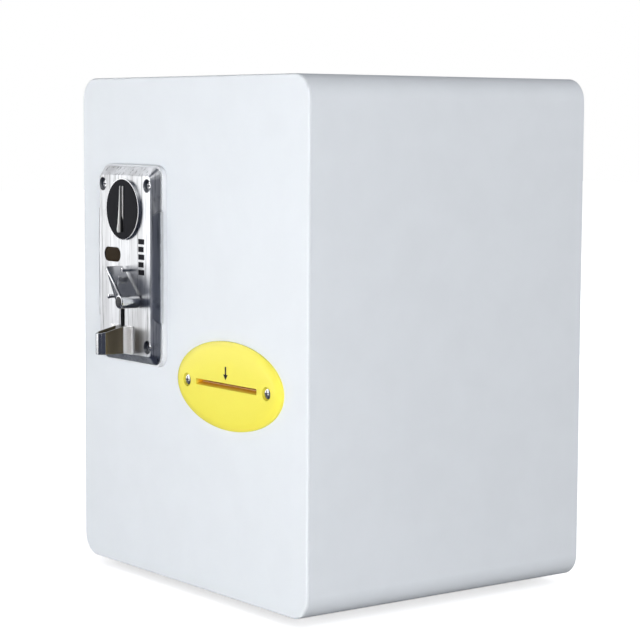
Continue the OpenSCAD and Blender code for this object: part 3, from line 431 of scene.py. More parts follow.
    @staticmethod
    def from_frame(node: str, edge: float) -> Piece:
        """Copies a CAD node, merges its triangles into plain faces and rounds its edges.

        Args:
            node: Name of the node.
            edge: Width of the rounding; nought leaves the edges as they are.

        Returns:
            The copy.
        """
        Bench.take(frame["nodes"][node])
        bpy.ops.object.duplicate()
        obj = bpy.context.object
        bpy.ops.object.parent_clear(type="CLEAR")
        obj.name = obj.data.name = f"{node}_made"
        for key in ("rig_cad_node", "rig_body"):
            if key in obj:
                del obj[key]
        bpy.ops.mesh.customdata_custom_splitnormals_clear()
        obj.data.materials.clear()
        with Bench.shaping(obj):
            bpy.ops.mesh.remove_doubles(threshold=0.004 * MM)
            bpy.ops.mesh.dissolve_limited(angle_limit=math.radians(0.6))
        if edge:
            Bench.modify(obj, "BEVEL", width=edge * MM, segments=2, limit_method="ANGLE",
                         angle_limit=math.radians(32), loop_slide=False)
        return obj


def arc(centre: Point, radius: float, start: float, end: float, steps: int) -> list[Point]:
    """Gives points along an arc.

    Args:
        centre: Centre of the arc.
        radius: Its radius.
        start: Angle of its first point in degrees.
        end: Angle of its last point in degrees.
        steps: Number of steps between them.

    Returns:
        The points, both ends included.
    """
    angles = [math.radians(start + (end - start) * i / steps) for i in range(steps + 1)]
    return [(centre[0] + radius * math.cos(a), centre[1] + radius * math.sin(a)) for a in angles]


# ---- shared effects -----------------------------------------------------------------------------
def place_node(tree: Tree, kind: str, values: dict | None = None,
               **settings: object) -> bpy.types.Node:
    """Adds a node, sets it and wires its inputs.

    Args:
        tree: The node tree.
        kind: The node's type name.
        values: Input name or number, and the socket or the plain value that goes in.
        **settings: Properties of the node itself.

    Returns:
        The node.
    """
    made = tree.nodes.new(kind)
    for key, value in settings.items():
        setattr(made, key, value)
    for key, value in (values or {}).items():
        if isinstance(value, Socket):
            tree.links.new(value, made.inputs[key])
        else:
            made.inputs[key].default_value = value
    return made


def maths(tree: Tree, operation: str, *values: object) -> Socket:
    """Adds a maths node that is kept between nought and one.

    Args:
        tree: The node tree.
        operation: Name of the operation.
        *values: Sockets or numbers that go in.

    Returns:
        The node's output.
    """
    made = place_node(tree, "ShaderNodeMath", dict(enumerate(values)), operation=operation,
                      use_clamp=True)
    return made.outputs[0]


def own_place(tree: Tree) -> Socket:
    """Gives the place on the piece, in object coordinates."""
    return tree.nodes.new("ShaderNodeTexCoord").outputs["Object"]


def ramp(tree: Tree, value: Socket, low: float, high: float, first: float = 0.0,
         last: float = 1.0) -> Socket:
    """Maps a range of values to another.

    Args:
        tree: The node tree.
        value: The value.
        low: Value that becomes the first result.
        high: Value that becomes the last result.
        first: The first result.
        last: The last result.

    Returns:
        The result, kept between the two.
    """
    return place_node(tree, "ShaderNodeMapRange", {
        "Value": value, "From Min": low, "From Max": high, "To Min": first,
        "To Max": last}).outputs[0]


def blend_colours(tree: Tree, mask: object, under: object, over: object) -> Socket:
    """Lays one colour over another where a mask says.

    Args:
        tree: The node tree.
        mask: Socket or number from nought to one.
        under: Socket or colour below.
        over: Socket or colour above.

    Returns:
        The blended colour.
    """
    pick = [value if isinstance(value, Socket) else (*value, 1.0)
            for value in (under, over)]
    made = place_node(tree, "ShaderNodeMix", {0: mask, 6: pick[0], 7: pick[1]}, data_type="RGBA")
    return made.outputs[2]


class Effect(Enum):
    """Shared effects, each one node group built once."""

    GRAIN = "surface_grain"
    SMUDGE = "handling_smudge"
    WEAR = "edge_wear"
    DUST = "settled_dust"

    def group(self) -> Tree:
        """Returns the effect's node group, built on first use."""
        found = bpy.data.node_groups.get(self.value)
        return found or {Effect.GRAIN: self._grain, Effect.SMUDGE: self._smudge,
                         Effect.WEAR: self._wear, Effect.DUST: self._dust}[self]()

    def use(self, tree: Tree, **values: object) -> bpy.types.Node:
        """Places the effect in a material with its own values.

        Args:
            tree: The material's node tree.
            **values: Values or sockets for the group's inputs.

        Returns:
            The group node.
        """
        made = tree.nodes.new("ShaderNodeGroup")
        made.node_tree = self.group()
        for key, value in values.items():
            made.inputs[key].default_value = value
        return made

    def _start(self, inputs: dict[str, object], outputs: Sequence[str]) -> tuple:
        """Makes the empty group with its sockets.

        Args:
            inputs: Input names and their starting values.
            outputs: Output names.

        Returns:
            The tree, its input node and its output node.
        """
        tree = bpy.data.node_groups.new(self.value, "ShaderNodeTree")
        for name, value in inputs.items():
            kind = "NodeSocketVector" if isinstance(value, tuple) else "NodeSocketFloat"
            socket = tree.interface.new_socket(name, in_out="INPUT", socket_type=kind)
            socket.default_value = value
        for name in outputs:
            tree.interface.new_socket(name, in_out="OUTPUT", socket_type="NodeSocketFloat")
        return tree, tree.nodes.new("NodeGroupInput"), tree.nodes.new("NodeGroupOutput")

    @staticmethod
    def _noise(tree: Tree, vector: Socket, scale: object,
               detail: float, low: float, high: float) -> Socket:
        """Adds noise that is stretched to fill nought to one.

        Args:
            tree: The group's tree.
            vector: Coordinates.
            scale: Number of features in a metre.
            detail: Octaves of detail.
            low: Noise value that becomes nought.
            high: Noise value that becomes one.

        Returns:
            The stretched noise.
        """
        noise = place_node(tree, "ShaderNodeTexNoise",
                           {"Vector": vector, "Scale": scale, "Detail": detail})
        return ramp(tree, noise.outputs[0], low, high)

    def _grain(self) -> Tree:
        """Fine relief and a slow drift of tone, both along object coordinates."""
        tree, given, out = self._start({"Scale": 900.0, "Stretch": (1.0, 1.0, 1.0)},
                                       ("Height", "Tone"))
        where = own_place(tree)
        drawn = place_node(tree, "ShaderNodeVectorMath", {0: where, 1: given.outputs["Stretch"]},
                           operation="MULTIPLY").outputs[0]
        fine = self._noise(tree, drawn, given.outputs["Scale"], 3.0, 0.25, 0.75)
        slow = place_node(tree, "ShaderNodeMath", {0: given.outputs["Scale"], 1: 0.07},
                          operation="MULTIPLY").outputs[0]
        tone = self._noise(tree, drawn, slow, 4.0, 0.35, 0.65)
        tree.links.new(fine, out.inputs["Height"])
        tree.links.new(tone, out.inputs["Tone"])
        return tree

    def _smudge(self) -> Tree:
        """Patches that hands and cleaning leave."""
        tree, given, out = self._start({"Scale": 22.0}, ("Mask",))
        where = own_place(tree)
        broad = self._noise(tree, where, given.outputs["Scale"], 2.0, 0.42, 0.68)
        streak = place_node(tree, "ShaderNodeVectorMath", {0: where, 1: (9.0, 9.0, 2.0)},
                            operation="MULTIPLY").outputs[0]
        wiped = self._noise(tree, streak, given.outputs["Scale"], 5.0, 0.3, 0.7)
        tree.links.new(maths(tree, "MULTIPLY", broad, wiped), out.inputs["Mask"])
        return tree

    def _wear(self) -> Tree:
        """Rubbed edges: where a rounded normal leaves the true one, broken up by noise."""
        tree, given, out = self._start({"Radius": 0.0006, "Amount": 1.0}, ("Mask",))
        round_normal = place_node(tree, "ShaderNodeBevel", {"Radius": given.outputs["Radius"]},
                                  samples=3).outputs[0]
        true_normal = tree.nodes.new("ShaderNodeNewGeometry").outputs["Normal"]
        match = place_node(tree, "ShaderNodeVectorMath", {0: round_normal, 1: true_normal},
                           operation="DOT_PRODUCT").outputs["Value"]
        edge = ramp(tree, match, 0.995, 0.9)
        patches = self._noise(tree, own_place(tree), 160.0, 4.0, 0.5, 0.72)
        mask = maths(tree, "MULTIPLY", maths(tree, "MULTIPLY", edge, patches),
                     given.outputs["Amount"])
        tree.links.new(mask, out.inputs["Mask"])
        return tree

    def _dust(self) -> Tree:
        """A thin film on what faces up."""
        tree, given, out = self._start({"Amount": 0.2}, ("Mask",))
        normal = tree.nodes.new("ShaderNodeNewGeometry").outputs["Normal"]
        up = place_node(tree, "ShaderNodeSeparateXYZ", {0: normal}).outputs["Z"]
        level = ramp(tree, up, 0.5, 1.0)
        patches = self._noise(tree, own_place(tree), 70.0, 6.0, 0.3, 0.8)
        mask = maths(tree, "MULTIPLY", maths(tree, "MULTIPLY", level, patches),
                     given.outputs["Amount"])
        tree.links.new(mask, out.inputs["Mask"])
        return tree


# ---- finishes -----------------------------------------------------------------------------------
@dataclass(frozen=True)
class Finish:
    """A finish: one colour with its grain, handling, wear and dust."""

    colour: Colour
    roughness: float = 0.4
    metallic: float = 0.0
    second: Colour | None = None
    drift: float = 0.5
    grain: float = 900.0
    stretch: tuple[float, float, float] = (1.0, 1.0, 1.0)
    depth: float = 0.01
    spread: float = 0.12
    worn: Colour = (0.8, 0.8, 0.8)
    wear: float = 0.0
    wear_radius: float = 0.5
    dust: float = 0.0
    coat: float = 0.0
    coat_roughness: float = 0.1
    specular: float = 0.5
    DUST: ClassVar[Colour] = (0.55, 0.53, 0.5)

    def build(self, name: str) -> bpy.types.Material:
        """Wires the finish up as a material.

        Args:
            name: The material's name.

        Returns:
            The material.
        """
        material = bpy.data.materials.new(name)
        material.use_nodes = True
        tree = material.node_tree
        shader = tree.nodes["Principled BSDF"]
        self.settle(shader)
        grain = Effect.GRAIN.use(tree, Scale=self.grain, Stretch=self.stretch)
        smudge = Effect.SMUDGE.use(tree)
        second = self.second or tuple(value * 0.93 for value in self.colour)
        colour = blend_colours(tree, maths(tree, "MULTIPLY", grain.outputs["Tone"], self.drift),
                               self.colour, second)
        colour = self.pattern(tree, colour)
        matt = maths(tree, "MULTIPLY_ADD", smudge.outputs["Mask"], self.spread, self.roughness)
        if self.wear:
            worn = Effect.WEAR.use(tree, Radius=self.wear_radius * MM, Amount=self.wear)
            colour = blend_colours(tree, worn.outputs["Mask"], colour, self.worn)
        if self.dust:
            film = Effect.DUST.use(tree, Amount=self.dust)
            colour = blend_colours(tree, film.outputs["Mask"], colour, self.DUST)
            matt = maths(tree, "MULTIPLY_ADD", film.outputs["Mask"], 0.5, matt)
        tree.links.new(colour, shader.inputs["Base Color"])
        tree.links.new(matt, shader.inputs["Roughness"])
        bump = place_node(tree, "ShaderNodeBump", {
            "Height": grain.outputs["Height"], "Distance": self.depth * MM, "Strength": 1.0})
        tree.links.new(bump.outputs[0], shader.inputs["Normal"])
        return material

    def settle(self, shader: bpy.types.Node) -> None:
        """Sets what is the same all over on the shader itself."""
        shader.inputs["Metallic"].default_value = self.metallic
        shader.inputs["Specular IOR Level"].default_value = self.specular
        shader.inputs["Coat Weight"].default_value = self.coat
        shader.inputs["Coat Roughness"].default_value = self.coat_roughness

    def pattern(self, tree: Tree, colour: Socket) -> Socket:
        """Adds the finish's own pattern to its colour; a plain finish has none.

        Args:
            tree: The material's node tree.
            colour: The colour so far.

        Returns:
            The colour with its pattern.
        """
        return colour


@dataclass(frozen=True)
class SpangledZinc(Finish):
    """Hot-dip zinc with its crystals."""

    crystals: float = 130.0

    def pattern(self, tree: Tree, colour: Socket) -> Socket:
        """Gives each crystal its own grey."""
        where = own_place(tree)
        cells = place_node(tree, "ShaderNodeTexVoronoi", {"Vector": where, "Scale": self.crystals})
        grey = place_node(tree, "ShaderNodeSeparateXYZ", {0: cells.outputs["Color"]}).outputs["X"]
        return blend_colours(tree, maths(tree, "MULTIPLY", grey, 0.55), colour,
                             tuple(value * 0.6 for value in self.colour))


@dataclass(frozen=True)
class PrintedBoard(Finish):
    """Green solder mask over copper tracks."""

    pitch: float = 3.0

    def pattern(self, tree: Tree, colour: Socket) -> Socket:
        """Draws tracks and pads under the mask."""
        where = own_place(tree)
        parts = place_node(tree, "ShaderNodeSeparateXYZ", {0: where})
        flat = place_node(tree, "ShaderNodeCombineXYZ",
                          {0: parts.outputs["Y"], 1: parts.outputs["Z"]}).outputs[0]
        tracks = place_node(tree, "ShaderNodeTexBrick", {
            "Vector": flat, "Scale": 1.0, "Mortar Size": 0.0004, "Mortar Smooth": 0.0,
            "Brick Width": self.pitch * 4 * MM, "Row Height": self.pitch * MM})
        pads = place_node(tree, "ShaderNodeTexVoronoi", {"Vector": flat, "Scale": 210.0})
        pad = place_node(tree, "ShaderNodeMath", {0: pads.outputs["Distance"], 1: 0.16},
                         operation="LESS_THAN").outputs[0]
        colour = blend_colours(tree, tracks.outputs["Fac"], colour,
                               tuple(min(1.0, value * 2.1) for value in self.colour))
        return blend_colours(tree, pad, colour, (0.75, 0.73, 0.62))


@dataclass(frozen=True)
class PaintedSlotShade(Finish):
    """A finish with painted shade: it takes another colour where the piece is cut into, standing in
    for the shade inside a slot.
    """

    # deep is the colour of the painted shade inside the slot.
    deep: Colour = (1.0, 0.55, 0.03)
    node: str = "ticket_bezel"
    mouth: Point = (59.4, 5.2)
    start: float = 0.3
    reach: float = 2.6

    def pattern(self, tree: Tree, colour: Socket) -> Socket:
        """Paints shade: deepens the colour behind the face, in the mouth only."""
        low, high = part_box(self.node)
        where = own_place(tree)
        parts = place_node(tree, "ShaderNodeSeparateXYZ", {0: where})
        inside = ramp(tree, parts.outputs["Y"], low.y + self.start * MM, low.y + self.reach * MM)
        for axis, size in zip("XZ", self.mouth):
            middle = (getattr(low, axis.lower()) + getattr(high, axis.lower())) / 2
            near = maths(tree, "COMPARE", parts.outputs[axis], middle, size / 2 * MM)
            inside = maths(tree, "MULTIPLY", inside, near)
        # Painted shade: the deep colour goes over the face colour inside the slot.
        return blend_colours(tree, inside, colour, self.deep)


@dataclass(frozen=True)
class TicketCard(Finish):
    """Card, with wavy darker bands across it."""

    pitch: float = 1.5

    def pattern(self, tree: Tree, colour: Socket) -> Socket:
        """Shades the layers of a stack."""
        where = own_place(tree)
        wave = place_node(tree, "ShaderNodeTexWave", {
            "Vector": where, "Scale": 1 / (self.pitch * MM) / 3.0, "Distortion": 0.4,
            "Detail": 1.0}, bands_direction="Z")
        return blend_colours(tree, maths(tree, "MULTIPLY", wave.outputs["Fac"], 0.35), colour,
                             tuple(value * 0.72 for value in self.colour))


@dataclass(frozen=True)
class BrushedChrome(Finish):
    """Plating brushed up and down, with dark scratches and grey bruises."""

    scratches: float = 520.0
    bruises: float = 90.0

    def pattern(self, tree: Tree, colour: Socket) -> Socket:
        """Draws the scratches and bruises."""
        where = own_place(tree)
        drawn = place_node(tree, "ShaderNodeMapping", {"Vector": where, "Scale": (1.0, 1.0, 0.03)})
        for scale, vector, low, high, dark in (
                (self.scratches, drawn.outputs[0], 0.54, 0.68, 0.8),
                (self.bruises, where, 0.6, 0.8, 0.4)):
            noise = place_node(tree, "ShaderNodeTexNoise", {
                "Vector": vector, "Scale": scale, "Detail": 4.0, "Roughness": 0.7})
            mask = ramp(tree, noise.outputs["Fac"], low, high, last=dark)
            colour = blend_colours(tree, mask, colour, (0.09, 0.09, 0.085))
        return colour


@dataclass(frozen=True)
class ScoopSteel(Finish):
    """Bright steel, with a painted dark brown reflection on the cup's flat walls and a painted
    white highlight at its flanges.
    """

    painted_reflection: Colour = (0.11, 0.093, 0.065)
    painted_highlight: Colour = (0.84, 0.84, 0.84)
    node: str = "return_cup"
    walls: Point = (3.2, 15.0)

    def pattern(self, tree: Tree, colour: Socket) -> Socket:
        """Paints a dark brown reflection on the walls behind the nose and a white highlight on the
        flanges.
        """
        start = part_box(self.node)[0].y
        where = own_place(tree)
        back = place_node(tree, "ShaderNodeSeparateXYZ", {0: where}).outputs["Y"]
        # dull masks the walls for the painted reflection; pale masks the flanges for the painted
        # highlight.
        dull, pale = (ramp(tree, back, start + (edge - 0.3) * MM, start + (edge + 0.3) * MM)
                      for edge in self.walls)
        shine = ramp(tree, dull, 0.0, 1.0, 1.0, 0.4)
        tree.links.new(shine, tree.nodes["Principled BSDF"].inputs["Metallic"])
        dulled = blend_colours(tree, dull, colour, self.painted_reflection)
        return blend_colours(tree, pale, dulled, self.painted_highlight)


class Slot(Enum):
    """The record's material slots, each with its finish."""

    # In the two white paints the edge mask lightens the rounded edges a little.
    FRONT_PAINT = ("front_paint", Finish((0.80, 0.84, 0.88), 0.33, drift=0.25, grain=700,
        depth=0.006, spread=0.06, wear=0.15, worn=(0.9, 0.91, 0.92), dust=0.12, specular=0.2))
    BODY_PAINT = ("body_paint", Finish((0.76, 0.80, 0.845), 0.36, drift=0.3, grain=700,
        depth=0.006, spread=0.06, wear=0.15, worn=(0.88, 0.89, 0.9), dust=0.15, specular=0.3))
    REAR_PAINT = ("rear_paint", Finish((0.74, 0.76, 0.78), 0.4, drift=0.3, grain=650, depth=0.01,
        wear=0.3, worn=(0.5, 0.5, 0.5), dust=0.2))
    # The edge mask here darkens the plate's rounded edges to near black, a dark line along each
    # edge.
    CHROME_PLATE = ("chrome_plate", BrushedChrome((0.84, 0.85, 0.86), 0.3, 1.0, (0.5, 0.5, 0.5),
        0.9, 1100, (1.0, 1.0, 0.04), 0.008, 0.1, worn=(0.05, 0.05, 0.06), wear=1.0,
        wear_radius=0.9, dust=0.05))
    # The lips' steel is painted near black behind the face: painted shade down inside the coin
    # slot.
    LIP_STEEL = ("chrome_plate", PaintedSlotShade((0.88, 0.88, 0.87), 0.3, 0.3, (0.75, 0.75, 0.75), 0.5,
        1800, depth=0.003, spread=0.08, deep=(0.02, 0.02, 0.022), node="coin_slot_lips",
        mouth=(5.0, 28.0), start=1.9, reach=2.9))
    # The cup's steel, with a painted reflection on its walls and a painted highlight on its
    # flanges.
    SCOOP_STEEL = ("chrome_plate", ScoopSteel((0.75, 0.75, 0.75), 0.14, 1.0, (0.6, 0.6, 0.6), 0.5,
        1800, depth=0.003, spread=0.08))
    BRIGHT_STEEL = ("bright_steel", Finish((0.82, 0.82, 0.82), 0.16, 1.0, (0.66, 0.66, 0.67), 0.5,
        1800, depth=0.003, spread=0.1))
    BLACK_DISC = ("black_disc", Finish((0.01, 0.01, 0.013), 0.42, drift=0.4, grain=1200,
        depth=0.003, wear=1.0, worn=(0.5, 0.49, 0.47), wear_radius=0.35, dust=0.02,
        specular=0.05))
    SPACER_PLASTIC = ("spacer_plastic", Finish((0.78, 0.80, 0.83), 0.45, grain=1400, depth=0.006,
        wear=0.2, dust=0.2))
    AMBER_LENS = ("amber_lens", Finish((0.02, 0.012, 0.005), 0.5, second=(0.035, 0.02, 0.006),
        grain=300, depth=0.002, specular=0.08))
    BODY_PLASTIC = ("body_plastic", Finish((0.05, 0.052, 0.055), 0.5, grain=1500, depth=0.012,
        wear=0.4, worn=(0.2, 0.2, 0.2), dust=0.3))
    GREY_PLASTIC = ("grey_plastic", Finish((0.28, 0.29, 0.3), 0.5, grain=1500, depth=0.012,
        wear=0.4, worn=(0.5, 0.5, 0.5), dust=0.3))
    COIL_BRASS = ("coil_brass", Finish((0.72, 0.45, 0.16), 0.35, 1.0, (0.5, 0.3, 0.1), 0.6, 3500,
        (1.0, 0.05, 0.05), 0.03, dust=0.2))
    GREEN_BOARD = ("green_board", PrintedBoard((0.02, 0.13, 0.05), 0.35, grain=900, depth=0.01,
        dust=0.25))
    # The bezel's yellow is painted deep orange behind the face: painted shade inside the ticket
    # slot.
    YELLOW_PLASTIC = ("yellow_plastic", PaintedSlotShade((0.93, 0.84, 0.105), 0.22, drift=0.2,
        second=(0.91, 0.8, 0.09), grain=500, depth=0.003, spread=0.05, dust=0.03, specular=0.3,
        coat=0.12, coat_roughness=0.06))
    GALVANISED = ("galvanised", SpangledZinc((0.62, 0.64, 0.66), 0.36, 1.0, grain=400,
        depth=0.006, dust=0.2))
    BLACK_RUBBER = ("black_rubber", Finish((0.025, 0.025, 0.026), 0.75, grain=1100, depth=0.03,
        wear=0.5, worn=(0.12, 0.12, 0.12), dust=0.35))
    BRASS_BUSH = ("brass_bush", Finish((0.75, 0.5, 0.2), 0.3, 1.0, grain=1600, depth=0.006,
        dust=0.1))
    WHITE_NYLON = ("white_nylon", Finish((0.74, 0.71, 0.62), 0.42, grain=900, depth=0.008,
        wear=0.4, worn=(0.9, 0.89, 0.85), dust=0.25))
    TICKET_PAPER = ("ticket_paper", TicketCard((0.86, 0.56, 0.22), 0.8, grain=1600, depth=0.02,
        dust=0.1))
    RED_PLASTIC = ("red_plastic", Finish((0.5, 0.02, 0.02), 0.3, grain=900, depth=0.004, wear=0.3,
        worn=(0.7, 0.2, 0.2), coat=0.3))
    BLACK_PLASTIC = ("black_plastic", Finish((0.03, 0.03, 0.032), 0.42, grain=1500, depth=0.012,
        wear=0.4, worn=(0.16, 0.16, 0.16), dust=0.2))

    @property
    def slot(self) -> str:
        """The record's name of the slot."""
        return self.value[0]

    def material(self) -> bpy.types.Material:
        """Returns the slot's material, built on first use."""
        name = f"made_{self.name.lower()}"
        return bpy.data.materials.get(name) or self.value[1].build(name)


# ---- sub-assemblies -----------------------------------------------------------------------------
class Assembly:
    """What every sub-assembly does with a finished piece."""

    def dress(self, obj: Piece, slot: Slot, *nodes: str, body: str = "",
              angle: float = 33) -> Piece:
        """Smooths and paints a piece, and hangs it on its body.

        Args:
            obj: The piece.
            slot: Its finish.
            *nodes: The CAD nodes that it stands for.
            body: The body of a piece that stands for no node.
            angle: Edges sharper than this many degrees stay sharp.

        Returns:
            The piece.
        """
        Bench.take(obj)
        bpy.ops.object.shade_smooth_by_angle(angle=math.radians(angle))
        Bench.modify(obj, "WEIGHTED_NORMAL", mode="FACE_AREA", weight=80, keep_sharp=True)
        obj.data.materials.clear()
        obj.data.materials.append(slot.material())
        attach(obj, body or BODY_OF[nodes[0]])
        if nodes:
            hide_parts(*nodes)
        slot.slot
        LOG.info("%s: %d faces, %s", obj.name, len(obj.data.polygons), slot.slot)
        return obj

    def carry(self, plan: dict[str, tuple[Slot, float]]) -> None:
        """Refines CAD nodes whose shape is right already.

        Args:
            plan: Node name, and its finish and the width of its rounded edges.
        """
        for node, (slot, edge) in plan.items():
            self.dress(Bench.from_frame(node, edge), slot, node)


@dataclass
class CabinetShell(Assembly):
    """The sheet-steel cabinet: wrap, front panel, rear panel and feet."""

    corner: float = 13.0
    sheet: float = 1.5
    face_edge: float = 1.2
    seam: float = 0.25
    anchor_r: float = 3.3
    anchor_at: Point = (95.0, 70.0)
    foot_r: float = 9.0
    foot_hole_r: float = 2.02
    coin_hole: Point = (28.0, 53.0)
    mouth_hole: Point = (31.8, 4.9)
    screw_x: float = 38.55
    screw_hole_r: float = 1.8

    def build(self) -> None:
        """Builds the shell from the outside in."""
        self.wrap()
        self.front()
        self.rear()
        self.feet()

    def wrap(self) -> None:
        """The sheet that goes round: a block with rounded long edges, opened and made thin."""
        low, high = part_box("cabinet_wrap")
        obj = Bench.block("cabinet_wrap_made", low, high)
        with Bench.shaping(obj, running_back(100), Kind.EDGE):
            Bench.round_off(self.corner, 14)
        with Bench.shaping(obj, lambda f: abs(f.normal.y) > 0.9):
            bpy.ops.mesh.delete(type="FACE")
        Bench.modify(obj, "SOLIDIFY", thickness=self.sheet * MM, offset=-1)
        holes = [Bench.rod("hole", Vector((x, y, low.z - MM)), Axis.UP, radius, 5, 32)
                 for x, y, radius in self.floor_holes()]
        Bench.cut(obj, *holes)
        Bench.soften(obj, self.seam)
        self.dress(obj, Slot.BODY_PAINT, "cabinet_wrap")

    def floor_holes(self) -> list[tuple[float, float, float]]:
        """Gives the holes in the cabinet's floor.

        Returns:
            Place in metres and radius in millimetres of each hole.
        """
        foot_low, foot_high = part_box("feet")
        inset = mm(self.foot_r, self.foot_r, 0)
        feet = [(x, y, self.foot_hole_r) for x in (foot_low.x + inset.x, foot_high.x - inset.x)
                for y in (foot_low.y + inset.y, foot_high.y - inset.y)]
        low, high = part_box("cabinet_wrap")
        middle = (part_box("front_panel")[0].y + high.y) / 2
        right, back = self.anchor_at
        anchors = [(sx * right * MM, middle + sy * back * MM, self.anchor_r)
                   for sx in (-1, 1) for sy in (-1, 1)]
        return feet + anchors

    def front(self) -> None:
        """The front panel with its rounded rim and its cut-outs."""
        low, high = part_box("front_panel")
        obj = Bench.block("front_panel_made", low, high)
        with Bench.shaping(obj, running_back(1), Kind.EDGE):
            Bench.round_off(self.corner, 18)
        for way, width, segments in ((-1, self.face_edge, 5), (1, self.seam, 2)):
            with Bench.shaping(obj, facing(way)):
                bpy.ops.mesh.region_to_loop()
                Bench.round_off(width, segments)
        coin, mouth = Datum.over("acceptor_plate"), Datum.over("ticket_bezel")
        cuts = [Bench.block("cut", datum.at(-x, 5, -z), datum.at(x, -5, z))
                for datum, (x, z) in ((coin, self.coin_hole), (mouth, self.mouth_hole))]
        cuts += [Bench.rod("cut", mouth.at(side * self.screw_x, -5, 0), Axis.OUT,
                           self.screw_hole_r, 10, 24) for side in (-1, 1)]
        Bench.cut(obj, *cuts)
        self.dress(obj, Slot.FRONT_PAINT, "front_panel")

    def rear(self) -> None:
        """The fixed rear panel."""
        self.carry({"rear_panel": (Slot.REAR_PAINT, 0.2)})

    def feet(self) -> None:
        """Moulded feet with two grooves and their screws."""
        low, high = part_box("feet")
        first = Vector((low.x + self.foot_r * MM, low.y + self.foot_r * MM, 0))
        profile = [(2.05, 1.9), (4.4, 1.7), (4.6, 0.25), (5.0, 0), (8.0, 0), (8.6, 0.3), (9.0, 1.0),
                   (8.8, 1.9), (8.5, 2.1), (8.75, 2.4), (8.6, 3.4), (8.45, 4.0), (2.05, 4.0),
                   (2.05, 1.9)]
        foot = Bench.lathe("feet_made", first, Axis.UP, profile, 40)
        span = Vector((high.x - low.x, high.y - low.y, 0)) - Vector((2, 2, 0)) * self.foot_r * MM
        moves = [Vector((span.x, 0, 0)), Vector((0, span.y, 0)), span]
        self.dress(Bench.repeat(foot, moves), Slot.BLACK_RUBBER, "feet")
        self.carry({"foot_screws": (Slot.GALVANISED, 0.15)})


@dataclass
class ServiceDoor(Assembly):
    """The hinged service door with its hinges and cam lock."""

    edge: float = 0.35
    lock_r: float = 8.0
    plug_r: float = 5.2

    def build(self) -> None:
        """Builds the door, then what it hangs on, then what locks it."""
        self.carry({"rear_door": (Slot.REAR_PAINT, self.edge),
            "door_hinge_leaves": (Slot.GALVANISED, 0.15),
            "frame_hinge_leaves": (Slot.GALVANISED, 0.15), "hinge_pins": (Slot.BRIGHT_STEEL, 0.2),
            "lock_nut": (Slot.GALVANISED, 0.25), "lock_cam": (Slot.GALVANISED, 0.25)})
        self.lock()

    def lock(self) -> None:
        """The lock's barrel with a rounded flange, and its plug with a key slot."""
        low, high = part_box("lock_barrel")
        middle = Vector(((low.x + high.x) / 2, low.y, (low.z + high.z) / 2))
        length = (high.y - low.y) / MM
        bore, flange = self.plug_r + 0.05, (high.x - low.x) / 2 / MM
        barrel = Bench.lathe("lock_barrel_made", middle, Axis.BACK, [
            (bore, 0), (self.lock_r, 0), (self.lock_r, length - 2.6), (flange, length - 2.6),
            (flange, length - 1.5), (flange - 0.5, length - 0.7), (flange - 1.6, length - 0.15),
            (flange - 2.6, length), (bore + 0.7, length), (bore, length - 0.6), (bore, 0)])
        self.dress(barrel, Slot.BRIGHT_STEEL, "lock_barrel")
        low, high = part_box("lock_plug")
        base, length = Vector((middle.x, low.y, middle.z)), (high.y - low.y) / MM
        plug = Bench.lathe("lock_plug_made", base, Axis.BACK, [
            (0, 0), (3, 0), (3, 4), (self.plug_r, 4), (self.plug_r, length - 0.4),
            (self.plug_r - 0.4, length), (2.2, length), (1.9, length - 0.25), (0, length - 0.25)])
        face = Vector((middle.x, high.y, middle.z))
        Bench.cut(plug, Bench.block("cut", face + mm(-0.6, -4, -3.2),
                                    face + mm(0.6, 2, 3.2)))
        self.dress(plug, Slot.BRIGHT_STEEL, "lock_plug")


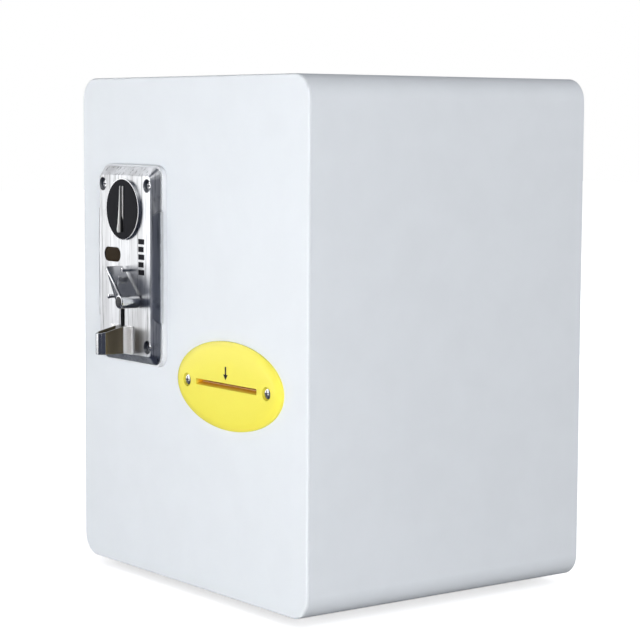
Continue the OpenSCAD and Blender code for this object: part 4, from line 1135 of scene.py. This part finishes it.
@dataclass
class CoinAcceptor(Assembly):
    """The coin acceptor on the front and its works behind the panel."""

    plate_w: float = 64.0
    plate_h: float = 114.0
    plate_r: float = 6.5
    slope: float = 4.2
    end: float = 5.0
    out: float = 8.1
    spacer: float = 3.0
    slab: float = 0.8
    grip: float = 1.8
    grip_halves: Point = (32.0, 29.0)
    screw_sink: float = 2.9
    screw_hole: float = 1.8
    screw_well: float = 3.9
    screw_at: Point = (24.2, 46.5)
    disc_r: float = 17.9
    disc_up: float = 32.4
    hub: Point = (14.5, -20.2)
    hub_r: float = 4.0
    hub_hole: float = 2.6
    hub_out: float = 13.2
    lever_len: float = 24.7
    lean: float = 38.0
    slot_half: float = 13.5
    window_at: Point = (-13.6, 5.4)
    window_size: Point = (4.8, 4.2)
    pins_at: tuple[Point, ...] = ((6.4, -2.6), (-8.6, -18.8))
    bars: int = 5
    bar_pitch: float = 4.45
    datum: Datum = field(default_factory=lambda: Datum.over("acceptor_plate"))

    def build(self) -> None:
        """Builds the acceptor from the panel outwards, then its works."""
        self.carry({"acceptor_spacer": (Slot.SPACER_PLASTIC, 0.5)})
        self.plate()
        self.screws()
        self.disc()
        self.lips()
        self.window()
        self.lever()
        self.pins()
        self.carry({"return_cup": (Slot.SCOOP_STEEL, 0.25)})
        self.scale_bars()
        self.works()

    def plate(self) -> None:
        """The plated face: a slab, its sloped rim, the side grips, and every opening."""
        at, w, h = self.datum.at, self.plate_w / 2, self.plate_h / 2
        obj = Bench.block("acceptor_plate_made", at(-w, self.spacer, -h),
                          at(w, self.spacer + self.slab, h))
        with Bench.shaping(obj, running_back(0.5), Kind.EDGE):
            Bench.round_off(self.plate_r, 8)
        with Bench.shaping(obj, facing(-1)):
            bpy.ops.mesh.inset(thickness=self.slope * MM,
                               depth=(self.out - self.spacer - self.slab) * MM)
            bpy.ops.transform.resize(value=(1, 1, (h - self.end) / (h - self.slope)),
                                     center_override=at(0, self.out, 0))
        wide = w + self.grip
        foot, top = self.grip_halves
        grip = Bench.block("grip", at(-wide, self.spacer, -foot), at(wide, self.spacer + 2, foot))
        rise = self.out - 0.6 - self.spacer - 2
        with Bench.shaping(grip, facing(-1)):
            Bench.pull(mm(0, -rise, 0))
            bpy.ops.transform.resize(value=((w - self.slope) / wide, 1, top / foot),
                                     center_override=at(0, self.out, 0))
        Bench.weld(obj, grip)
        Bench.cut(obj, *self.openings())
        Bench.soften(obj, 0.3, 2, 28)
        self.dress(obj, Slot.CHROME_PLATE, "acceptor_plate", angle=24)

    def openings(self) -> list[Piece]:
        """Makes the shapes that are cut out of the plate.

        Returns:
            The shapes.
        """
        at, deep = self.datum.at, self.out + 2
        made = [Bench.rod("cut", at(0, -1, self.disc_up), Axis.OUT, self.disc_r - 2.9, deep),
                Bench.block("cut", at(-4.8, -1, -50.5), at(-0.2, deep, -21.6)),
                self.pill("cut", 0.05, -1, deep),
                Bench.rod("cut", at(self.hub[0], -1, self.hub[1]), Axis.OUT, self.hub_hole, deep,
                          32)]
        seat = self.out - self.screw_sink
        for side in (-1, 1):
            for end in (-1, 1):
                x, z = side * self.screw_at[0], end * self.screw_at[1]
                made += [Bench.rod("cut", at(x, -1, z), Axis.OUT, self.screw_hole, deep, 24),
                         Bench.rod("cut", at(x, seat, z), Axis.OUT, self.screw_well, deep, 40)]
        return made

    def pill(self, name: str, grow: float, back: float, front: float) -> Piece:
        """Makes the window's rounded outline between two distances from the face.

        Args:
            name: Name of the piece.
            grow: How much the outline is widened all round.
            back: Distance of its back out of the face.
            front: Distance of its front out of the face.

        Returns:
            The new object.
        """
        half, r = self.window_size[0], self.window_size[1] + grow
        right, up = self.window_at
        points = arc((half, 0), r, -90, 90, 12) + arc((-half, 0), r, 90, 270, 12)
        return Bench.prism(name, [self.datum.at(right + x, back, up + z) for x, z in points],
                           mm(0, back - front, 0))

    def screws(self) -> None:
        """Four pan-head screws: one turned and recessed, then copied."""
        x, z = self.screw_at
        screw = PanScrew(self.datum.at(-x, self.out - self.screw_sink, -z), 3.2, 1.6,
                         7.5).build("acceptor_screws_made")
        made = Bench.repeat(screw, [mm(2 * x, 0, 0), mm(0, 0, 2 * z), mm(2 * x, 0, 2 * z)])
        self.dress(made, Slot.BRIGHT_STEEL, "acceptor_screws")

    def disc(self) -> None:
        """The coin entry disc, the polished ring round it and the seat of the lips."""
        r, out = self.disc_r, self.out
        front = out + 2
        disc = Bench.lathe("coin_entry_disc_made", self.datum.at(0, 0, self.disc_up), Axis.OUT, [
            (0, 0), (r - 3.1, 0), (r - 3.1, out), (r - 0.5, out), (r - 0.5, front - 0.5),
            (r - 0.65, front - 0.2), (r - 1.1, front), (r - 6, front), (0, front)], 96)
        Bench.cut(disc, Bench.block("cut", self.datum.at(-2, -1, self.disc_up - self.slot_half),
                                    self.datum.at(2, front + 1, self.disc_up + self.slot_half)))
        Bench.soften(disc, 0.12, 2, 50)
        self.dress(disc, Slot.BLACK_DISC, "coin_entry_disc")
        ring = Bench.lathe("disc_ring", self.datum.at(0, 0, self.disc_up), Axis.OUT, [
            (r - 0.48, out + 0.02), (r - 0.1, out + 0.02), (r, out + 0.15), (r, front - 0.6),
            (r - 0.12, front - 0.35), (r - 0.48, front - 0.3), (r - 0.48, out + 0.02)], 96)
        self.dress(ring, Slot.BRIGHT_STEEL, body="cabinet", angle=50)

    def lips(self) -> None:
        """Two bright lips that line the slot; the left one rises towards its lower end."""
        front, end = self.out + 2, self.slot_half
        left = [(0.5, -end), (0.5, end), (front + 0.4, end), (front + 0.8, 2), (front + 1.6, -8),
                (front + 2.2, -12), (front + 1.9, -end)]
        right = [(0.5, -end), (0.5, end), (front + 0.6, end), (front + 0.6, -4), (front - 0.3, -7),
                 (front - 0.3, -end)]
        made = []
        for profile, start in ((left, -2.0), (right, 1.2)):
            points = [self.datum.at(start, out, self.disc_up + up) for out, up in profile]
            made.append(Bench.prism("lip", points, mm(0.8, 0, 0)))
        obj = Bench.gather("coin_slot_lips_made", made)
        Bench.soften(obj, 0.22, 3)
        self.dress(obj, Slot.LIP_STEEL, "coin_slot_lips")

    def window(self) -> None:
        """The dark window with a slightly domed face."""
        obj = self.pill("value_window_made", 0, 5, self.out - 0.7)
        with Bench.shaping(obj, facing(-1)):
            bpy.ops.mesh.inset(thickness=0.5 * MM, depth=0.25 * MM)
            bpy.ops.mesh.inset(thickness=0.9 * MM, depth=0.12 * MM)
        self.dress(obj, Slot.AMBER_LENS, "value_window", angle=50)

    def lever(self) -> None:
        """The return lever: a deep drop-shaped block on its hub, its shaft and its cap."""
        tip, big = 0.8, self.hub_r - 0.15
        base = math.degrees(math.asin((big - tip) / (self.lever_len - tip)))
        drop = (arc((0, 0), big, base, base - 180 - 2 * base, 26)
                + arc((0, self.lever_len - tip), tip, 180 - base, base, 8))
        turn, front, back = math.radians(self.lean), self.out + self.hub_out, self.out + 0.7
        cos, sin = math.cos(turn), math.sin(turn)
        points = [self.datum.at(self.hub[0] + x * cos - z * sin, back + 0.4,
                                self.hub[1] + x * sin + z * cos) for x, z in drop]
        obj = Bench.prism("return_lever_made", points, mm(0, back + 0.4 - front + 0.6, 0))
        Bench.soften(obj, 0.8, 3, 40)
        hub = Bench.lathe("hub", self.datum.at(self.hub[0], 0, self.hub[1]), Axis.OUT, [
            (0, back), (self.hub_r - 0.3, back), (self.hub_r, back + 0.3),
            (self.hub_r, front - 0.7), (self.hub_r - 0.25, front - 0.2),
            (self.hub_r - 0.7, front), (0, front)])
        Bench.weld(obj, hub)
        place = self.datum.at(self.hub[0], 0, self.hub[1])
        Bench.cut(obj, Bench.rod("cut", place - mm(0, back - 1, 0), Axis.OUT, 2.52,
                                 front - 2.5 - back + 1, 32),
                  Bench.rod("cut", place - mm(0, front - 3, 0), Axis.OUT, 2.02, 4, 32))
        self.dress(obj, Slot.BRIGHT_STEEL, "return_lever")
        cap = Bench.lathe("lever_cap_made", place, Axis.OUT, [
            (0, front - 3.2), (2, front - 3.2), (2, front), (3.1, front), (3.1, front + 0.15),
            (2.8, front + 0.35), (1.9, front + 0.48), (0, front + 0.5)], 32)
        Bench.cut(cap, Bench.block("cut", place + mm(-2.2, -front - 1, -0.35),
                                   place + mm(2.2, -front - 0.1, 0.35)))
        self.dress(cap, Slot.BLACK_PLASTIC, "lever_cap")
        self.carry({"lever_shaft": (Slot.BRIGHT_STEEL, 0.15),
            "lever_spring": (Slot.BRIGHT_STEEL, 0)})

    def pins(self) -> None:
        """Two turned stop pins."""
        made = [Bench.lathe("pin", self.datum.at(x, 0, z), Axis.OUT, [
            (0, 5), (1.1, 5), (1.1, self.out + 5.2), (1.35, self.out + 5.3), (1.35, self.out + 5.9),
            (1.0, self.out + 6.15), (0, self.out + 6.2)], 24) for x, z in self.pins_at]
        self.dress(Bench.gather("stop_pins_made", made), Slot.BRIGHT_STEEL, "stop_pins")

    def scale_bars(self) -> None:
        """Plain printed bars beside the slot, down the plate's right-hand side."""
        bars = []
        for i in range(self.bars):
            down = self.bar_pitch * i
            bars.append(Bench.block(
                "bar", self.datum.at(14.9, self.out - 0.3, 15.8 - down),
                self.datum.at(21.4 - 0.7 * (i % 2), self.out + 0.04, 12.7 - down)))
        obj = Bench.gather("acceptor_bars", bars)
        Bench.soften(obj, 0.04, 1)
        self.dress(obj, Slot.BLACK_DISC, body="cabinet")

    def works(self) -> None:
        """Everything of the acceptor that sits behind the panel."""
        self.carry({"acceptor_body": (Slot.BODY_PLASTIC, 0.3),
            "return_gate": (Slot.GREY_PLASTIC, 0.2), "gate_pin": (Slot.BRIGHT_STEEL, 0.2),
            "solenoid": (Slot.COIL_BRASS, 0.2), "solenoid_plunger": (Slot.BRIGHT_STEEL, 0.2),
            "acceptor_board": (Slot.GREEN_BOARD, 0.15), "coin_chute": (Slot.GREY_PLASTIC, 0.25)})


@dataclass
class PanScrew:
    """A pan-head screw with a cross recess, standing on a surface and pointing into it."""

    seat: Vector
    radius: float
    height: float
    shank: float
    shank_r: float = 1.75

    def build(self, name: str) -> Piece:
        """Turns the head and shank, then cuts the recess.

        Args:
            name: Name of the piece.

        Returns:
            The screw.
        """
        r, h = self.radius, self.height
        screw = Bench.lathe(name, self.seat, Axis.OUT, [
            (0, -self.shank), (self.shank_r, -self.shank), (self.shank_r, 0), (r - 0.1, 0),
            (r, h * 0.2), (r * 0.97, h * 0.45), (r * 0.86, h * 0.72), (r * 0.66, h * 0.9),
            (r * 0.4, h * 0.98), (0, h)], 36)
        for wide, tall in ((0.58, 0.13), (0.13, 0.58)):
            x, z = r * wide, r * tall
            Bench.cut(screw, Bench.block("cut", self.seat + mm(-x, -h - 1, -z),
                                         self.seat + mm(x, -h * 0.35, z)))
        Bench.soften(screw, 0.08, 1, 45)
        return screw


@dataclass
class TicketMouth(Assembly):
    """The oval ticket mouth with its screws and its printed arrow."""

    width: float = 101.5
    height: float = 49.5
    rim: float = 1.28
    dome: float = 3.2
    slot_w: float = 59.0
    slot: Point = (-0.44, 1.76)
    lead: float = 1.7
    screw_x: float = 38.55
    screw_hole: float = 1.8
    screw_well: float = 3.8
    seat: float = 1.2
    datum: Datum = field(default_factory=lambda: Datum.over("ticket_bezel"))

    def build(self) -> None:
        """Builds the bezel and what is on it."""
        self.bezel()
        self.screws()
        self.arrow()
        self.carry({"bezel_nuts": (Slot.GALVANISED, 0.2)})

    def bezel(self) -> None:
        """The glossy oval: an ellipse raised in rings, then slotted and counterbored."""
        at = self.datum.at
        Bench.clear()
        bpy.ops.mesh.primitive_cylinder_add(
            vertices=128, radius=1, depth=self.rim * MM, location=at(0, self.rim / 2, 0),
            rotation=Axis.OUT.turn)
        bpy.context.object.scale = (self.width / 2 * MM, self.height / 2 * MM, 1)
        obj = Bench.named("ticket_bezel_made")
        rings = [(0.3, 0.35), (0.8, 0.5), (1.8, 0.6), (3.4, 0.55), (4.6, 0.18), (7.0, 0.1),
                 (13.0, 0.12)]
        before, height = 0.0, self.rim
        for inset, rise in rings:
            lift = rise * (self.dome - self.rim) / sum(step for _, step in rings)
            height += lift
            wide = (self.width / 2 - inset) / (self.width / 2 - before)
            tall = (self.height / 2 - inset) / (self.height / 2 - before)
            with Bench.shaping(obj, lambda f: f.normal.y < -0.99 and len(f.verts) > 8):
                Bench.pull(mm(0, -lift, 0))
                bpy.ops.transform.resize(value=(wide, 1, tall), center_override=at(0, height, 0))
            before = inset
        half, (low, high) = self.slot_w / 2, self.slot
        Bench.weld(obj, Bench.block("neck", at(-half - 2, -11, -4.6), at(half + 2, 0.5, 4.6)))
        lead = [(self.dome + 1, 0), (self.dome + 1, low - self.lead), (0.5, low), (0.5, 0)]
        ramp = Bench.prism("cut", [at(-half, out, up) for out, up in lead],
                           mm(self.slot_w, 0, 0))
        Bench.cut(obj, Bench.block("cut", at(-half, -13, low), at(half, self.dome + 1, high)), ramp,
                  *(Bench.rod("cut", at(side * self.screw_x, back, 0), Axis.OUT, radius, 8, 40)
                    for side in (-1, 1)
                    for back, radius in ((-2, self.screw_hole), (self.seat, self.screw_well))))
        Bench.soften(obj, 0.18, 2, 35)
        self.dress(obj, Slot.YELLOW_PLASTIC, "ticket_bezel", angle=28)

    def screws(self) -> None:
        """Two pan-head screws in the counterbores."""
        screw = PanScrew(self.datum.at(-self.screw_x, self.seat, 0), 3.4, 1.6, 10)
        made = Bench.repeat(screw.build("bezel_screws_made"), [mm(2 * self.screw_x, 0, 0)])
        self.dress(made, Slot.BRIGHT_STEEL, "bezel_screws")

    def arrow(self) -> None:
        """A plain printed arrow that points down at the slot."""
        outline = [(0, 3.6), (2.2, 6.6), (0.7, 6.6), (0.7, 11), (-0.7, 11), (-0.7, 6.6),
                   (-2.2, 6.6)]
        points = [self.datum.at(x, self.dome - 0.25, z) for x, z in outline]
        obj = Bench.prism("mouth_arrow", points, mm(0, -0.29, 0))
        self.dress(obj, Slot.BLACK_DISC, body="cabinet")


@dataclass
class TicketDrive(Assembly):
    """Rollers, gears and motor that feed a ticket, and the frame that holds them."""

    def build(self) -> None:
        """Refines each piece of the drive."""
        self.carry({"dispenser_frame": (Slot.GALVANISED, 0.25),
            "ticket_guides": (Slot.GREY_PLASTIC, 0.15), "drive_shaft": (Slot.BRIGHT_STEEL, 0.25),
            "drive_rollers": (Slot.BLACK_RUBBER, 0.4), "shaft_bushes": (Slot.BRASS_BUSH, 0.2),
            "drive_gear": (Slot.WHITE_NYLON, 0.12), "motor": (Slot.GALVANISED, 0.5),
            "motor_pinion": (Slot.BRASS_BUSH, 0.1), "pinch_pivot": (Slot.BRIGHT_STEEL, 0.3),
            "pinch_arm": (Slot.GALVANISED, 0.2), "pinch_rollers": (Slot.BLACK_RUBBER, 0.35),
            "pinch_spring": (Slot.BRIGHT_STEEL, 0)})


@dataclass
class Stores(Assembly):
    """The cash box and the ticket store."""

    def build(self) -> None:
        """Refines each piece of the two stores."""
        self.carry({"cash_runners": (Slot.GALVANISED, 0.2), "cash_box": (Slot.GALVANISED, 0.3),
            "cash_box_lid": (Slot.GREY_PLASTIC, 0.3), "cash_box_handle": (Slot.BRIGHT_STEEL, 0),
            "ticket_tray": (Slot.GALVANISED, 0.25), "ticket_stack": (Slot.TICKET_PAPER, 0.08),
            "ticket_strip": (Slot.TICKET_PAPER, 0)})


@dataclass
class Electrics(Assembly):
    """Power supply, control board, inlet, fuse and switch."""

    def build(self) -> None:
        """Refines each electrical piece."""
        self.carry({"power_supply": (Slot.GALVANISED, 0.3),
            "control_board": (Slot.GREEN_BOARD, 0.15), "feed_button": (Slot.RED_PLASTIC, 0.3),
            "power_inlet": (Slot.BLACK_PLASTIC, 0.4), "fuse_drawer": (Slot.BLACK_PLASTIC, 0.3),
            "switch_rocker": (Slot.RED_PLASTIC, 0.3)})


# ---- studio -------------------------------------------------------------------------------------
@dataclass(frozen=True)
class Softbox:
    """A soft area light that looks at the machine's middle."""

    name: str
    place: tuple[float, float, float]
    size: tuple[float, float]
    power: float
    glossy: bool = True
    paints: bool = True

    def build(self, aim: Vector) -> None:
        """Hangs the light.

        Args:
            aim: Place that it looks at.
        """
        light = bpy.data.lights.new(self.name, "AREA")
        light.shape, light.size, light.size_y = "RECTANGLE", *self.size
        light.energy = self.power
        obj = bpy.data.objects.new(self.name, light)
        bpy.context.scene.collection.objects.link(obj)
        obj.location = self.place
        obj.rotation_euler = (aim - Vector(self.place)).to_track_quat("-Z", "Y").to_euler()
        obj.visible_camera = False
        obj.visible_glossy, obj.visible_diffuse = self.glossy, self.paints


@dataclass
class Studio:
    """Pale floor, soft light and the camera."""

    ambient: Colour = (0.2, 0.2, 0.21)
    mirrored: Colour = (0.05, 0.062, 0.1)
    backdrop: Colour = (1.0, 1.0, 1.0)
    lens: float = 116.668
    eye: tuple[float, float, float] = (0.979884, -0.732952, 0.269020)
    forward: tuple[float, float, float] = (-0.79511, 0.59893, -0.09530)
    right: tuple[float, float, float] = (0.60126, 0.79904, 0.00524)
    lights: tuple[Softbox, ...] = (
        Softbox("left_card", (-0.82, -0.67, 0.36), (1.0, 0.72), 3.4, paints=False),
        Softbox("high_card", (-2.2, -0.9, 1.6), (2.4, 1.5), 10, paints=False),
        Softbox("over_card", (0.5, -1.3, 1.7), (1.5, 1.0), 5.5, paints=False),
        Softbox("strip_card", (0.95, -2.2, 0.6), (0.35, 1.2), 1.6, paints=False),
        Softbox("top_fill", (-0.6, 1.6, 2.2), (2.6, 2.2), 10, glossy=False),
        Softbox("front_fill", (0.3, -3.4, 0.3), (2.4, 1.4), 26, glossy=False),
        Softbox("low_fill", (0.45, -0.78, 0.07), (0.7, 0.12), 2.9, glossy=False),
        Softbox("low_left_fill", (-0.5, -0.8, 0.05), (0.7, 0.08), 1.2, glossy=False),
        Softbox("side_fill", (2.9, -1.2, 0.8), (1.6, 1.2), 37, glossy=False),
        Softbox("left_fill", (-2.8, 0.5, 0.9), (1.8, 1.4), 34, glossy=False),
        Softbox("rear_card", (0.6, 2.6, 0.9), (1.8, 1.4), 34),
    )

    def build(self) -> None:
        """Builds the surroundings and hangs the camera."""
        self.floor()
        self.world()
        middle = (CAD_BOX[0] + CAD_BOX[1]) / 2
        for light in self.lights:
            light.build(middle)
        self.camera()
        bpy.context.scene.view_settings.view_transform = "Standard"

    def floor(self) -> None:
        """A wide pale floor; what the machine's underside sees of it is darker and warm."""
        Bench.clear()
        bpy.ops.mesh.primitive_plane_add(size=12, location=(0, 0, 0))
        obj = Bench.named("studio_floor")
        material = bpy.data.materials.new("studio_floor")
        material.use_nodes = True
        tree = material.node_tree
        shader = tree.nodes["Principled BSDF"]
        path = tree.nodes.new("ShaderNodeLightPath").outputs
        floor = blend_colours(tree, path["Is Diffuse Ray"], (0.86, 0.86, 0.87), (0.55, 0.54, 0.53))
        floor = blend_colours(tree, path["Is Glossy Ray"], floor, (0.035, 0.045, 0.08))
        tree.links.new(floor, shader.inputs["Base Color"])
        shader.inputs["Roughness"].default_value = 0.9
        shader.inputs["Emission Color"].default_value = (1, 1, 1, 1)
        where = own_place(tree)
        away = place_node(tree, "ShaderNodeVectorMath", {0: where},
                          operation="LENGTH").outputs["Value"]
        glow = ramp(tree, away, 0.25, 1.1, 0.62)
        lift = place_node(tree, "ShaderNodeMath", {0: path["Is Camera Ray"], 1: glow},
                          operation="MULTIPLY")
        tree.links.new(lift.outputs[0], shader.inputs["Emission Strength"])
        obj.data.materials.append(material)

    def world(self) -> None:
        """White behind the machine, and a dim cool grey as light."""
        world = bpy.data.worlds.new("studio")
        bpy.context.scene.world = world
        world.use_nodes = True
        tree = world.node_tree
        path = tree.nodes.new("ShaderNodeLightPath").outputs
        around = blend_colours(tree, path["Is Glossy Ray"], self.ambient, self.mirrored)
        around = blend_colours(tree, path["Is Camera Ray"], around, self.backdrop)
        tree.links.new(around, tree.nodes["Background"].inputs["Color"])

    def camera(self) -> None:
        """The camera, a little above the machine's middle and to its right."""
        data = bpy.data.cameras.new("camera")
        data.lens, data.sensor_width = self.lens, 36
        obj = bpy.data.objects.new("camera", data)
        bpy.context.scene.collection.objects.link(obj)
        forward, right = Vector(self.forward).normalized(), Vector(self.right).normalized()
        turned = Matrix((right, right.cross(forward), -forward)).transposed()
        obj.matrix_world = Matrix.Translation(self.eye) @ turned.to_4x4()
        bpy.context.scene.camera = obj


def main() -> None:
    """Builds the sub-assemblies in order, then the studio round them."""
    logging.basicConfig(level=logging.INFO, format="%(name)s: %(message)s", stream=sys.stdout)
    for assembly in (CabinetShell(), ServiceDoor(), CoinAcceptor(), TicketMouth(), TicketDrive(),
                     Stores(), Electrics()):
        assembly.build()
    Studio().build()


if __name__ == "__main__":
    main()
